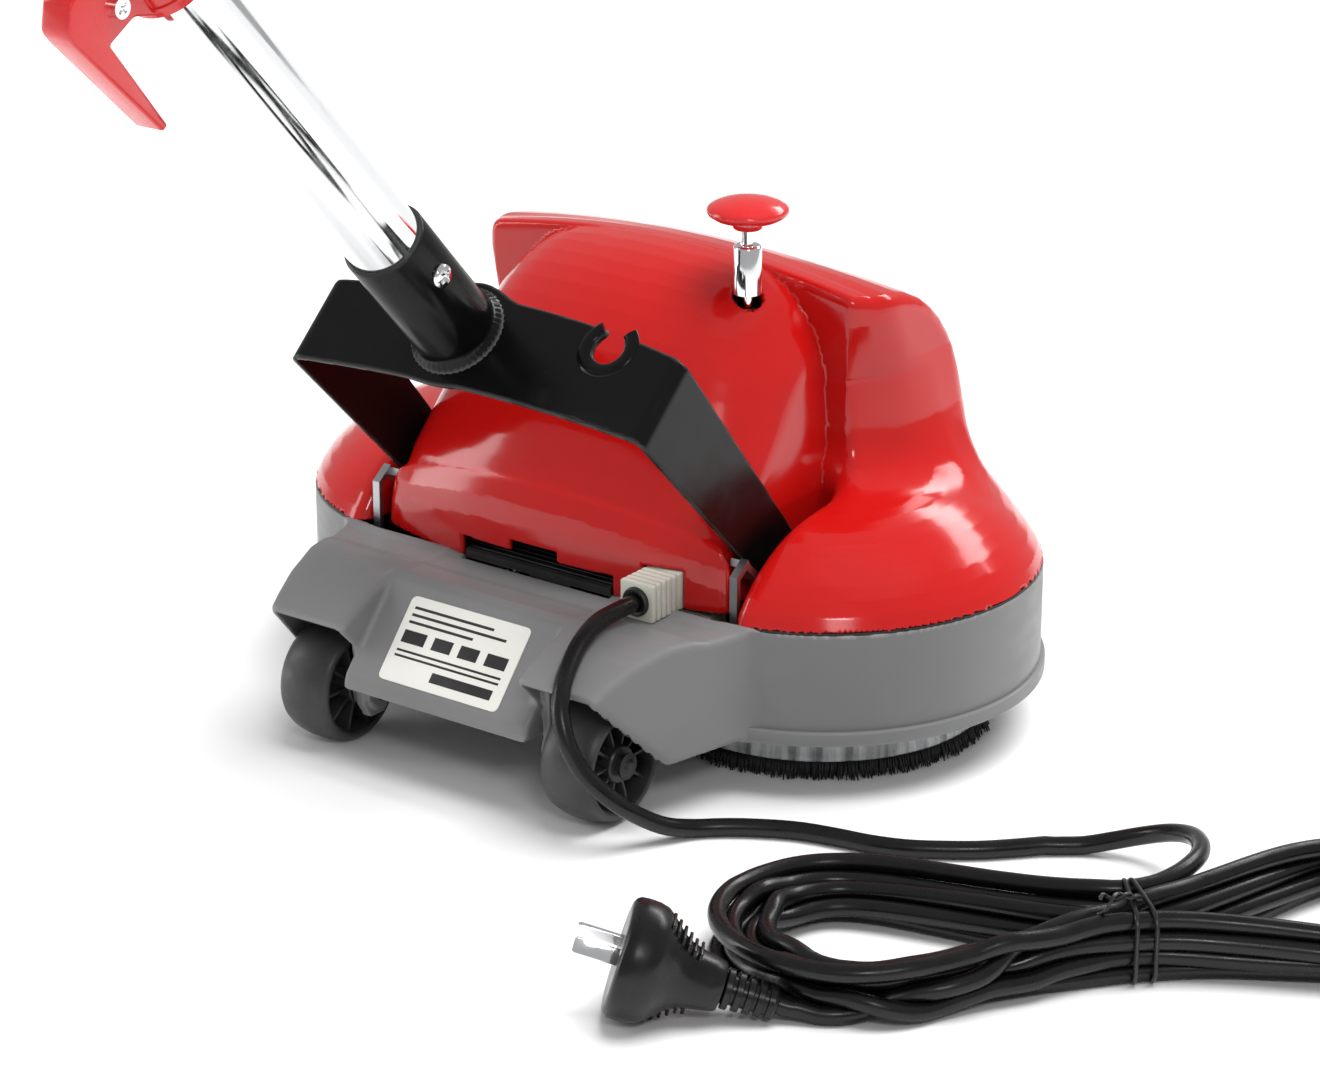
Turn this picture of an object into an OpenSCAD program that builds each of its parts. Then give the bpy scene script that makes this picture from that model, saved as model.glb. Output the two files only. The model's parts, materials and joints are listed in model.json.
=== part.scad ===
// Twin-brush rotary floor machine with a folding handle.
// X runs to the right seen from behind, Y runs forward, Z runs up from the floor.
// The origin is on the floor, under the centre of the machine's box.

/* [Brushes] */
// Diameter of each brush over its bristles
brush_d = 152; // [148:1:156]
// Distance between the two brush spindles
brush_pitch = 160; // [158:1:164]
// Gap between the bristles and the outside of the skirt
skirt_gap = 18.5; // [18:0.5:20]

/* [Body] */
// Height of the seam between the grey base and the red cover
split_z = 73.5; // [73:0.5:74]
// Height of the skirt's lower edge
skirt_bottom = 25; // [23:1:27]
// Thickness of the moulded walls
wall = 2.5; // [2:0.1:3]

/* [Wheels] */
// Diameter of a wheel
wheel_d = 52; // [50:1:52]
// Width of a wheel's tread
wheel_w = 26; // [22:1:26]

/* [Handle] */
// Angle between the resting handle and the upright handle
tilt = 42.15; // [40:0.05:44]
// Distance from the pivots to the cross handle at the top
handle_len = 1075; // [900:5:1150]
// Diameter of the chrome tube
tube_d = 32; // [30:1:32]

/* [Cord] */
// Diameter of the mains cord
cord_d = 7.5; // [7:0.1:7.5]

/* [Hidden] */
$fn = 64;

// Places measured from the wheel axle, which lies along X
brush_x = brush_pitch / 2;
brush_y = 143;
brush_r = brush_d / 2;
skirt_r = brush_r + skirt_gap;
lip = 2;
wheel_r = wheel_d / 2;
wheel_x = 69.8;
pivot_y = 104;
pivot_z = 78.5;
tube_x = -17.5;
tube_b = 10;
crossbar_h = 136;
knob_x = 55;
knob_y = 122;
cover_z = split_z + 1;

// The frame's origin is under the middle of the box, from the handle's top to the skirt's lip
tee_r = 19;
rear_y = pivot_y + tube_b * cos(tilt) - handle_len * sin(tilt) - tee_r;
front_y = brush_y + skirt_r + lip;
axle_y = -(rear_y + front_y) / 2;

// Colours
red = [0.78, 0.09, 0.08];
grey = [0.55, 0.55, 0.56];
dark = [0.12, 0.12, 0.13];
steel = [0.72, 0.72, 0.74];
chrome = [0.85, 0.85, 0.87];
cream = [0.91, 0.88, 0.8];

// Everything below is drawn from the wheel axle and moved to the frame's origin by this
module from_axle() { translate([0, axle_y, 0]) children(); }

// The handle's own frame: the origin on the pivots, Y across the strap, Z up the tube
module on_handle() {
    from_axle() translate([0, pivot_y, pivot_z]) rotate([tilt, 0, 0]) children();
}

module at_brush(side) { from_axle() translate([side * brush_x, brush_y, 0]) children(); }

module both_sides() {
    children();
    mirror([1, 0, 0]) children();
}

// A (y, z) outline stretched along X from x0 to x1
module along_x(x0, x1) {
    translate([x0, 0, 0]) rotate([90, 0, 90]) linear_extrude(x1 - x0) children();
}

// An (x, z) outline stretched along Y from y0 to y1
module along_y(y0, y1) {
    translate([0, y1, 0]) rotate([90, 0, 0]) linear_extrude(y1 - y0) children();
}

module along_z(z0, z1) { translate([0, 0, z0]) linear_extrude(z1 - z0) children(); }

// A plain ring or disc about Z
module ring(z0, z1, outer, inner = 0) {
    translate([0, 0, z0]) difference() {
        cylinder(h = z1 - z0, r = outer);
        if (inner > 0) translate([0, 0, -1]) cylinder(h = z1 - z0 + 2, r = inner);
    }
}

// A round rod along X
module rod_x(x0, x1, r) { translate([x0, 0, 0]) rotate([0, 90, 0]) cylinder(h = x1 - x0, r = r); }

// The footprint of the two brushes and the space between them, centred on the brushes
module footprint(r) {
    for (side = [-1, 1]) translate([side * brush_x, 0]) circle(r, $fn = 160);
    square([2 * brush_x, 2 * r], center = true);
}

// ---------- base housing ----------

deck_z = 38;
deck_top = 42;
panel_x = 48.5;
hood_slope = 21 / 72;
plate_z = 57;
plate_top = 60;
bearing_r = 11;
bearing_top = 65;
post_r = 3.2;
post_spots = [[0, -42], [0, 42], [brush_x, 88], [-brush_x, 88], [brush_x, -88], [-brush_x, -88]];

panel_outside = [
    [50, split_z], [33, split_z], [26, 75.6], [14, 76.5], [9, 75], [-20.5, 41], [-22, 37], [-22, 34], [50, 34]
];
panel_inside = [
    [50, 71], [33, 71], [25, 73.1], [15, 73.8], [10, 72], [-17.5, 40.5], [-19.4, 36], [-19.4, 30], [50, 30]
];
hood_outside = [
    [54, split_z], [33, split_z], [26, 75.6], [14, 76.3], [-5, 72.3], [-17, 67], [-24, 63], [-24, 60],
    [12, 24], [54, 25]
];
hood_inside = [
    [54, 71], [33, 71], [25, 73.1], [14, 73.8], [-5, 69.7], [-17, 64.5], [-26, 60], [-40, 60],
    [-40, 10], [54, 10]
];

module hood_plan(inset) {
    polygon([
        [panel_x - wall + inset, -26 - 20 * inset],
        [86 - inset * 1.04 - 4 * inset * hood_slope, -26 - 20 * inset],
        [86 - inset * 1.04, -24], [107.5 - inset * 1.04, 53.5],
        [brush_x, 49.5], [panel_x - wall + inset, 49.5]
    ]);
}

module hood() {
    difference() {
        intersection() {
            along_x(panel_x - wall, 110) polygon(hood_outside);
            along_z(10, 90) hood_plan(0);
        }
        intersection() {
            along_x(panel_x, 110) polygon(hood_inside);
            along_z(0, 90) hood_plan(wall);
        }
    }
}

module panel() {
    difference() {
        along_x(-panel_x, panel_x) polygon(panel_outside);
        along_x(-panel_x + wall, panel_x - wall) polygon(panel_inside);
    }
}

// The leg on the inside of a wheel, which holds its axle
module wheel_leg() {
    along_x(panel_x - 0.5, panel_x + 4) polygon([[-12, 60], [-9, 22], [-5, 15], [5, 15], [9, 22], [14, 60]]);
    translate([0, 0, wheel_r]) rod_x(panel_x - 3, panel_x + 7, 8);
}

module base_housing() {
    color(grey) from_axle() difference() {
        union() {
            translate([0, brush_y]) {
                difference() {
                    union() {
                        along_z(skirt_bottom, split_z) footprint(skirt_r);
                        along_z(skirt_bottom, skirt_bottom + 6) footprint(skirt_r + lip);
                    }
                    along_z(skirt_bottom - 1, split_z + 1) footprint(skirt_r - wall);
                }
                along_z(deck_z, deck_top) footprint(skirt_r - wall / 2);
                for (side = [-1, 1]) translate([side * brush_x, 0]) ring(deck_z - 5, deck_top + 1, 16);
                for (spot = post_spots) translate(spot) ring(deck_top - 1, plate_z, post_r);
            }
            both_sides() {
                hood();
                wheel_leg();
            }
            panel();
        }
        for (side = [-1, 1]) translate([side * brush_x, brush_y]) {
            ring(deck_z - 6, deck_top - 1, bearing_r);
            ring(deck_z - 7, deck_top + 2, 7);
        }
        both_sides() translate([0, 0, wheel_r]) rod_x(panel_x - 6, panel_x + 9, 4);
        // Room for the foot pedal
        translate([-39.5, 47, 69.5]) cube([79, 14, 10]);
        // Seat of the rating label
        label_place() translate([-33, -21, -0.4]) cube([66, 42, 3]);
    }
}

// The middle of the label's seat, with Y up the slope
module label_place() { translate([0, -6.8, 56.8]) rotate([49.1, 0, 0]) children(); }

module rating_label() {
    color(cream) from_axle() label_place() translate([-31.5, -19, -0.4]) cube([63, 38, 0.5]);
}

// ---------- top cover ----------

lobe_curve = [[0, 112], [30, 111.5], [55, 109], [72, 103], [83, 95.5], [90, 87], [93.5, 80], [94.5, cover_z]];
rear_curve = [
    [46, cover_z], [46, 100], [56, 128], [70, 155], [84, 176], [100, 189], [120, 197], [140, 199.5],
    [160, 197], [180, 189], [196, 176], [206, 160], [216, 132], [224, 108], [231, 90], [236, cover_z]
];
rear_width = [
    [92.5, cover_z], [91, 95], [88, 103], [86.4, 108], [83, 140], [80, 165], [76, 177], [68, 186.5],
    [55, 193], [30, 198.5]
];
front_width = [
    [128, cover_z], [125, 100], [122, 112], [112, 132], [104, 158], [99, 176], [88, 189], [60, 197]
];
rear_bulge_r = 294;
slot_outer = 97.5;

// A half outline on the right side, mirrored to the left and inset by t
module mirrored_outline(half, t) {
    polygon(concat(
        [[half[0][0] - t, half[0][1] - 3 * t]],
        [for (p = half) [p[0] - t, p[1] - t]],
        [for (i = [len(half) - 1:-1:0]) [t - half[i][0], half[i][1] - t]],
        [[t - half[0][0], half[0][1] - 3 * t]]
    ));
}

// The side view of the dome, inset by t
module side_view(t) {
    polygon(concat(
        [[rear_curve[0][0] + t, cover_z - 3 * t]],
        [for (p = rear_curve) [p[0] + (p[0] < 130 ? t : -t), p[1] - (p[0] > 90 && p[0] < 200 ? t : 0)]],
        [[rear_curve[len(rear_curve) - 1][0] - t, cover_z - 3 * t]]
    ));
}

module rear_plan(t) {
    intersection() {
        translate([0, 46 + rear_bulge_r]) circle(rear_bulge_r - t, $fn = 240);
        union() {
            translate([-92.5 + t, 40]) square([185 - 2 * t, 21.5]);
            translate([-86.4 + t, 40]) square([172.8 - 2 * t, 130]);
        }
    }
}

module front_plan(t) {
    polygon([
        for (side = [1, -1], i = [0:5])
            let (
                half = [[103, 139], [112, 160], [121, 185], [119, 203], [105, 216], [80, 223]],
                p = half[side > 0 ? i : 5 - i]
            )
            [side * (p[0] - t), p[1] + (p[1] < 150 ? t : -t)]
    ]);
}

// Half of the section through a lobe, inset by t
module lobe_section(t) {
    polygon(concat(
        [[0, cover_z - 3 * t]],
        [for (p = lobe_curve) [max(p[0] - t, 0), p[1] - t]],
        [[lobe_curve[len(lobe_curve) - 1][0] - t, cover_z - 3 * t]]
    ));
}

module dome(t) {
    intersection() {
        along_x(-130, 130) side_view(t);
        union() {
            intersection() {
                along_y(40, 180) mirrored_outline(rear_width, t);
                along_z(60, 210) rear_plan(t);
            }
            intersection() {
                along_y(130, 240) mirrored_outline(front_width, t);
                along_z(60, 210) front_plan(t);
            }
        }
    }
    difference() {
        union() {
            for (side = [-1, 1]) translate([side * brush_x, brush_y])
                rotate_extrude($fn = 160) lobe_section(t);
            // The front between the two lobes
            along_x(-brush_x, brush_x) translate([brush_y, 0]) lobe_section(t);
        }
        // Behind, the lobes end at the slots
        translate([-slot_outer - t, 30, 50]) cube([2 * (slot_outer + t), 108 + t, 100]);
    }
}

// The slots that the yoke's arms swing in; t thickens the walls round them
module yoke_slots(t) {
    both_sides() {
        translate([93 - t, 30, 50]) cube([slot_outer - 93 + 2 * t, 108 + t, 200]);
        translate([86.8 - t, 64 - t, 50]) cube([slot_outer - 86.8 + 2 * t, 74 + 2 * t, 200]);
        along_x(88.1 - t, 92.3 + t)
            polygon([[-40, 202], [60.5, 103.2], [64 - t, 99], [64 - t, 240], [-40, 240]]);
    }
}

module top_cover() {
    color(red) from_axle() difference() {
        difference() {
            dome(0);
            yoke_slots(0);
        }
        difference() {
            dome(wall);
            yoke_slots(wall);
        }
        // Slot for the foot pedal, with its raised middle
        translate([-40, 36, cover_z - 5]) cube([80, 24, 13.5]);
        translate([-12.4, 36, cover_z - 5]) cube([24.8, 24, 18.5]);
        // Way in for the cord grip
        translate([57.5, 36, cover_z - 5]) cube([11, 24, 17]);
        translate([knob_x, knob_y, 150]) ring(0, 80, 6);
    }
}

module cover_seal() {
    color(dark) from_axle() translate([0, brush_y]) difference() {
        along_z(split_z, cover_z) footprint(skirt_r - 0.6);
        along_z(split_z - 1, cover_z + 1) footprint(skirt_r - 2.2);
        // Left out at the rear, where the dome's wall, the slots and the pedal are
        translate([-98, -120, split_z - 2]) cube([196, 100, 5]);
    }
}

grip_x = 62.85;
grip_z = 81.7;
grip_w = 16.6;

module cord_grip() {
    color(cream) from_axle() difference() {
        union() {
            translate([grip_x - grip_w / 2, 34.2, grip_z - grip_w / 2 + 0.1])
                cube([grip_w, 2.6, grip_w - 0.1]);
            for (i = [0:3])
                translate([grip_x - grip_w / 2, 37.8 + i * 3.4, grip_z - grip_w / 2 + 0.1])
                    cube([grip_w, 2.4, grip_w - 0.1]);
            translate([grip_x - grip_w / 2 + 0.8, 35, grip_z - grip_w / 2 + 0.8])
                cube([grip_w - 1.6, 15, grip_w - 1.6]);
            translate([grip_x - 5.3, 49, cover_z + 0.3]) cube([10.6, 11, 11.4]);
        }
        translate([grip_x, 37.5, grip_z]) rotate([-90, 0, 0]) cylinder(h = 40, r = cord_d / 2);
    }
}

// ---------- chassis and drive ----------

lug_top = 92;
mount_z = 83;
mount_posts = [[-34, -34], [-34, 34], [34, -34], [34, 34]];
pedal_hinge_y = 84;
pedal_hinge_z = 77;

module chassis_plate() {
    color(steel) from_axle() difference() {
        union() {
            translate([0, brush_y]) {
                along_z(plate_z, plate_top) footprint(skirt_r - wall - 1);
                for (side = [-1, 1]) translate([side * brush_x, 0])
                    ring(plate_top - 1, bearing_top + 0.4, 15);
            }
            // Lugs for the yoke's pivots
            both_sides() {
                along_x(92.4, 97)
                    polygon([[84, plate_top - 1], [94, lug_top], [114, lug_top], [124, plate_top - 1]]);
            }
            // Ears for the foot pedal's hinge
            both_sides() {
                along_x(41, 44) polygon([[76, plate_top - 1], [79, 81.5], [89, 81.5], [92, plate_top - 1]]);
            }
        }
        for (side = [-1, 1]) translate([side * brush_x, brush_y]) {
            ring(plate_z + 2.5, bearing_top + 1, bearing_r);
            ring(plate_z - 1, bearing_top + 1, 7);
        }
        translate([0, pivot_y, pivot_z]) rod_x(-100, 100, 5);
        translate([0, pedal_hinge_y, pedal_hinge_z]) rod_x(-45, 45, 2.05);
        for (spot = post_spots) translate([spot[0], brush_y + spot[1]]) ring(plate_z - 1, 62, 2.1);
    }
}

module housing_screws() {
    color(steel) from_axle() for (spot = post_spots) translate([spot[0], brush_y + spot[1]]) difference() {
        union() {
            ring(plate_z + 0.1, plate_top, 2);
            ring(plate_top, plate_top + 2.4, 3.6);
        }
        translate([-0.5, -3, plate_top + 1.4]) cube([1, 6, 2]);
        translate([-3, -0.5, plate_top + 1.4]) cube([6, 1, 2]);
    }
}

module motor_mount() {
    color(steel) from_axle() translate([0, brush_y]) difference() {
        union() {
            along_z(mount_z, mount_z + 4) circle(50);
            for (spot = mount_posts) translate(spot) ring(plate_top, mount_z + 1, 5);
            ring(mount_z - 3, mount_z + 6, 14);
        }
        ring(mount_z - 1, mount_z + 7, bearing_r);
        ring(mount_z - 4, mount_z + 7, 6);
    }
}

module motor_housing() {
    color(dark) from_axle() translate([0, brush_y]) difference() {
        union() {
            ring(mount_z + 4, 160, 42, 39.5);
            ring(157.5, 162, 42);
            ring(157.5, 168, 14);
        }
        ring(160, 170, bearing_r);
        ring(150, 170, 6);
        // Cooling windows
        for (i = [0:7]) rotate(i * 45 + 22.5) translate([30, -6, 148]) cube([20, 12, 7]);
        for (i = [0:5]) rotate(i * 60) translate([26, 0, 150]) cylinder(h = 20, r = 6);
    }
}

module stator() {
    color([0.45, 0.33, 0.25]) from_axle() translate([0, brush_y]) difference() {
        ring(96, 144, 39.5, 27);
        for (i = [0:3]) rotate(i * 90 + 45) translate([26, -4, 90]) cube([7, 8, 60]);
    }
}

module brush_holders() {
    color([0.72, 0.58, 0.25]) from_axle() translate([0, brush_y])
        for (side = [-1, 1]) translate([side > 0 ? 13.4 : -39.4, -4, 148]) cube([26, 8, 8]);
}

module motor_bearings() {
    color(chrome) from_axle() translate([0, brush_y]) {
        ring(mount_z - 1, mount_z + 6, bearing_r, 4.05);
        ring(160, 167, bearing_r, 4.05);
    }
}

module spindle_bearings() {
    color(chrome) for (side = [-1, 1]) at_brush(side) {
        ring(deck_z - 5, deck_top - 1, bearing_r, 4.05);
        ring(plate_z + 2.5, bearing_top, bearing_r, 4.05);
    }
}

belt_z = 67.6;
belt_w = 5.4;
belt_t = 1.2;
pulley_r = 20.4;
small_pulley_r = 6.8;
belt_gap = 0.25;

// The outline round the small pulley at the motor and the large one on the right spindle
module belt_loop(extra) {
    lean = asin((pulley_r - small_pulley_r) / brush_x);
    polygon(concat(
        [for (i = [0:16]) let (a = 90 + lean + i * (180 - 2 * lean) / 16)
            (small_pulley_r + extra) * [cos(a), sin(a)]],
        [for (i = [0:40]) let (a = lean - 90 - 2 * lean + i * (180 + 2 * lean) / 40)
            [brush_x, 0] + (pulley_r + extra) * [cos(a), sin(a)]]
    ));
}

module drive_belt() {
    color(dark) from_axle() translate([0, brush_y]) difference() {
        along_z(belt_z, belt_z + belt_w) belt_loop(belt_gap + belt_t);
        along_z(belt_z - 1, belt_z + belt_w + 1) belt_loop(belt_gap);
    }
}

module power_switch() {
    color(dark) from_axle() difference() {
        union() {
            translate([-11, 57, plate_top]) cube([22, 19, 10]);
            translate([0, 66, plate_top + 10]) ring(0, 1.5, 4);
        }
        translate([0, 66, plate_top + 5]) ring(0, 10, 2.1);
    }
}

module switch_plunger() {
    color(red) from_axle() translate([0, 66, 0]) ring(plate_top + 7.4, 73.6, 2.05);
}

module terminal_block() {
    color(cream) from_axle() difference() {
        translate([52, 62, plate_top]) cube([28, 11, 10]);
        for (i = [0:2]) translate([57 + i * 9, 67.5, plate_top + 4]) ring(0, 10, 2);
        for (i = [0:2]) translate([57 + i * 9, 50, plate_top + 3]) rotate([-90, 0, 0])
            cylinder(h = 30, r = 1.6);
    }
}

function coil_point(t, r, turns, h) = [r * cos(360 * turns * t), r * sin(360 * turns * t), h * t];

// A tube swept along points: each ring faces along the line between its neighbours
function unit(v) = v / norm(v);
function way(path, i) = unit(path[min(i + 1, len(path) - 1)] - path[max(i - 1, 0)]);
function side_of(v) = unit(cross(v, abs(v[2]) > 0.85 ? [1, 0, 0.2] : [0, 0, 1]));

module tube_along(path, r, sides) {
    n = len(path);
    points = [
        for (i = [0:n - 1], k = [0:sides - 1])
            let (f = way(path, i), s = side_of(f), u = cross(s, f), a = 360 * k / sides)
            path[i] + r * (cos(a) * s + sin(a) * u)
    ];
    faces = concat(
        [[for (k = [0:sides - 1]) sides - 1 - k]],
        [[for (k = [0:sides - 1]) (n - 1) * sides + k]],
        [
            for (i = [0:n - 2], k = [0:sides - 1])
                let (next = (k + 1) % sides)
                [i * sides + k, i * sides + next, (i + 1) * sides + next, (i + 1) * sides + k]
        ]
    );
    polyhedron(points, faces);
}

spring_base_z = plate_top + 0.4;

module pedal_springs() {
    color(chrome) from_axle() for (side = [-1, 1]) translate([side * 26, 64, spring_base_z])
        tube_along([for (i = [0:60]) coil_point(i / 60, 3.2, 5, 12.6) + [0, 0, 0.4]], 0.4, 6);
}

module foot_pedal() {
    color(dark) from_axle() difference() {
        union() {
            along_x(-38.5, 38.5) polygon([
                [48.6, 74.4], [49.6, 73.9], [80, 73.9], [84, 74.6], [86.4, 77], [84, 79.4], [80, 77.6],
                [50, 77.6], [48.6, 76.8]
            ]);
            translate([0, pedal_hinge_y, pedal_hinge_z]) rod_x(-44, 44, 2);
        }
        // Grooves for grip
        for (i = [0:3]) along_x(-40, 40) translate([52 + i * 4, 77.6]) circle(0.6, $fn = 24);
    }
}

module wheel_axles() {
    color(steel) from_axle() both_sides() translate([0, 0, wheel_r]) {
        rod_x(panel_x - 5, 86.2, 4);
        rod_x(83.6, 86.2, 7);
    }
}

module pivot_pins() {
    color(steel) from_axle() both_sides() translate([0, pivot_y, pivot_z]) {
        rod_x(88, 97, 5);
        rod_x(87.1, 88.3, 8);
    }
}

// Each stop is a strip that stands in the slot and is bent up under the arm's lower edge
module yoke_stops() {
    color(steel) from_axle() both_sides() {
        along_x(93.4, 97) polygon([
            [57, plate_top], [59.6, plate_top], [59.6, 91], [66.5, 95.8], [65, 98.2], [57, 92.4]
        ]);
        along_x(88.4, 97) polygon([[65, 97.2], [75.6, 87.2], [73.6, 85.2], [64, 94.2]]);
        along_x(93.4, 97)
            polygon([[57, plate_top], [57, plate_top + 2.4], [70, plate_top + 2.4], [70, plate_top]]);
    }
}

// ---------- handle lock ----------

bush_top = 211;
rod_r = 2.5;
boss_z = 217.8;

module guide_bush() {
    color(chrome) from_axle() translate([knob_x, knob_y, 0]) difference() {
        union() {
            ring(180, bush_top, 6);
            ring(182, 185, 8);
        }
        ring(170, 230, rod_r + 0.05);
        ring(181, 183, 4.2);
    }
}

module rod_seal() {
    color(dark) from_axle() translate([knob_x, knob_y, 0]) ring(181, 183, 4.2, rod_r + 0.03);
}

module lock_rod() { color(chrome) from_axle() translate([knob_x, knob_y, 0]) ring(172, boss_z + 4, rod_r); }

module lock_knob() {
    color(red) from_axle() translate([knob_x, knob_y, 0]) rotate_extrude($fn = 96) difference() {
        polygon([
            [0, boss_z], [6.2, boss_z], [6.4, boss_z + 1.5], [9, boss_z + 3], [15, boss_z + 5.6],
            [17.3, boss_z + 7.6], [17.3, boss_z + 8.6], [14, boss_z + 11], [8, boss_z + 13],
            [0, boss_z + 13.8]
        ]);
        translate([0, boss_z - 1]) square([rod_r, 5]);
    }
}

// ---------- handle ----------

strap_t = 3;
strap_x = 91.7;
bend_r = 6;
notch_b = 18;
mouth_w = 7.5;
notch_r = 6.9;
socket_r = 17.75;
socket_len = 68;
plate_h = crossbar_h - strap_t;

module u_profile(x, top, r) {
    translate([-x, -30]) square([2 * x, top + 30 - r]);
    translate([-x + r, top - 2 * r]) square([2 * (x - r), 2 * r]);
    for (side = [-1, 1]) translate([side * (x - r), top - r]) circle(r);
}

// The crossbar seen from above: its edges are bowed forward, with a round lug behind the socket
module crossbar_outline() {
    steps = 16;
    polygon(concat(
        [for (i = [-steps:steps]) [i * 92 / steps, -19.2 + 4.7 * (1 - pow(i / steps, 2))]],
        [for (i = [steps:-1:-steps]) [i * 92 / steps, 20.1 + 8.4 * (1 - pow(i / steps, 2))]]
    ));
    translate([tube_x, tube_b]) circle(24);
}

module arm_outline() {
    circle(13);
    polygon([[-13, 0], [13, 0], [20.1, plate_h], [20.1, crossbar_h], [-19.2, crossbar_h], [-19.2, plate_h]]);
}

module yoke() {
    color(dark) on_handle() difference() {
        union() {
            intersection() {
                along_y(-30, 45) difference() {
                    u_profile(strap_x, crossbar_h, bend_r);
                    u_profile(strap_x - strap_t, plate_h, bend_r - strap_t);
                }
                union() {
                    both_sides() along_x(strap_x - strap_t - 0.2, 100) arm_outline();
                    intersection() {
                        along_z(plate_h - 4, crossbar_h + 1) crossbar_outline();
                        translate([-88.7, -30, plate_h - 4]) cube([177.4, 80, 10]);
                    }
                }
            }
            // Raised rim round the notch
            intersection() {
                translate([knob_x, notch_b]) ring(crossbar_h - 1, crossbar_h + 0.3, 14, 11.4);
                along_z(crossbar_h - 2, crossbar_h + 1) crossbar_outline();
            }
        }
        translate([knob_x, notch_b]) ring(plate_h - 5, crossbar_h + 5, notch_r);
        translate([knob_x - mouth_w / 2, notch_b, plate_h - 5]) cube([mouth_w, 40, 12]);
        rod_x(-100, 100, 7);
        // Hole for the tube
        translate([tube_x, tube_b]) ring(plate_h - 5, crossbar_h + 5, tube_d / 2);
    }
}

module pivot_bushes() {
    color([0.72, 0.58, 0.25]) on_handle() both_sides() difference() {
        rod_x(strap_x - strap_t, strap_x, 7);
        rod_x(strap_x - strap_t - 1, strap_x + 1, 5.06);
    }
}

bolt_h = crossbar_h + 47;

module tube_socket() {
    color(dark) on_handle() translate([tube_x, tube_b]) difference() {
        ring(crossbar_h, crossbar_h + socket_len, socket_r, tube_d / 2);
        translate([0, 0, bolt_h]) rod_x(-30, 30, 2.5);
    }
}

module socket_bolt() {
    color(chrome) on_handle() translate([tube_x, tube_b, bolt_h]) difference() {
        union() {
            rod_x(-socket_r - 3, socket_r + 0.4, 2.5);
            rod_x(socket_r, socket_r + 3.2, 4.9);
            rod_x(-socket_r - 3.5, -socket_r, 4.4);
        }
        translate([socket_r + 1.8, -0.8, -3.2]) cube([3, 1.6, 6.4]);
        translate([socket_r + 1.8, -3.2, -0.8]) cube([3, 6.4, 1.6]);
    }
}

tube_wall = 1.5;
joint_h = 560;

module lower_tube() {
    color(chrome) on_handle() translate([tube_x, tube_b]) difference() {
        ring(plate_h, joint_h, tube_d / 2, tube_d / 2 - tube_wall);
        translate([0, 0, bolt_h]) rod_x(-30, 30, 2.5);
    }
}

module upper_tube() {
    color(chrome) on_handle() translate([tube_x, tube_b])
        ring(joint_h, handle_len - 14, tube_d / 2, tube_d / 2 - tube_wall);
}

module tube_coupler() {
    color(dark) on_handle() translate([tube_x, tube_b]) {
        ring(joint_h - 28, joint_h + 28, tube_d / 2 + 2.8, tube_d / 2);
        ring(joint_h - 28, joint_h - 24, tube_d / 2 + 4.2, tube_d / 2);
        ring(joint_h + 24, joint_h + 28, tube_d / 2 + 4.2, tube_d / 2);
    }
}

// Side view of the lower cord hook: Y across the handle, Z up the tube
hook_outline = [
    [0, 376], [-8, 378], [-15, 387], [-30, 390], [-33, 345], [-36.5, 345], [-41, 403], [-41, 410],
    [-32, 417], [-14, 418], [0, 416]
];

hook_top = 418;

module lower_hook() {
    color(red) on_handle() difference() {
        union() {
            translate([tube_x, tube_b]) ring(376, 416, tube_d / 2 + 3);
            along_x(tube_x - 7, tube_x + 7) polygon(hook_outline);
        }
        translate([tube_x, tube_b]) ring(300, 500, tube_d / 2);
        translate([0, -18, 397]) rod_x(tube_x - 20, tube_x + 20, 2);
    }
}

upper_hook_h = 930;

// The upper hook's collar turns on the tube, so that the wound cord drops off
module upper_hook() {
    color(red) on_handle() difference() {
        union() {
            translate([tube_x, tube_b]) ring(upper_hook_h, upper_hook_h + 40, tube_d / 2 + 3);
            along_x(tube_x - 7, tube_x + 7)
                polygon([for (p = hook_outline) [p[0], upper_hook_h + hook_top - p[1]]]);
        }
        translate([tube_x, tube_b]) ring(upper_hook_h - 100, upper_hook_h + 200, tube_d / 2 + 0.06);
    }
}

module hook_screws() {
    color(chrome) on_handle() {
        translate([0, -18, 397]) difference() {
            union() {
                rod_x(tube_x - 6, tube_x + 7.5, 2);
                rod_x(tube_x + 7, tube_x + 9.6, 4);
            }
            translate([tube_x + 8.6, -0.6, -2.6]) cube([2, 1.2, 5.2]);
            translate([tube_x + 8.6, -2.6, -0.6]) cube([2, 5.2, 1.2]);
        }
        // Rings that keep the upper hook from sliding
        translate([tube_x, tube_b]) {
            ring(upper_hook_h - 6, upper_hook_h - 0.4, tube_d / 2 + 2, tube_d / 2);
            ring(upper_hook_h + 42.6, upper_hook_h + 48, tube_d / 2 + 2, tube_d / 2);
        }
    }
}

bar_half = 118;
grip_r = 15;
bar_r = 11;

module handle_bar() {
    color(dark) on_handle() translate([tube_x, tube_b, handle_len]) {
        difference() {
            union() {
                rod_x(-22, 22, tee_r);
                ring(-52, -8, tee_r);
                rod_x(-bar_half, bar_half, bar_r);
            }
            ring(-60, -14, tube_d / 2);
        }
    }
}

module hand_grips() {
    color([0.05, 0.05, 0.05]) on_handle() translate([tube_x, tube_b, handle_len])
        both_sides() difference() {
            union() {
                rod_x(23, bar_half + 4, grip_r - 1.5);
                for (i = [0:11]) rod_x(24 + i * 8, 29 + i * 8, grip_r);
            }
            rod_x(10, bar_half, bar_r);
        }
}

// ---------- rotor ----------

module motor_shaft() { color(steel) at_motor() ring(64, 181, 4); }

module at_motor() { from_axle() translate([0, brush_y]) children(); }

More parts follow.
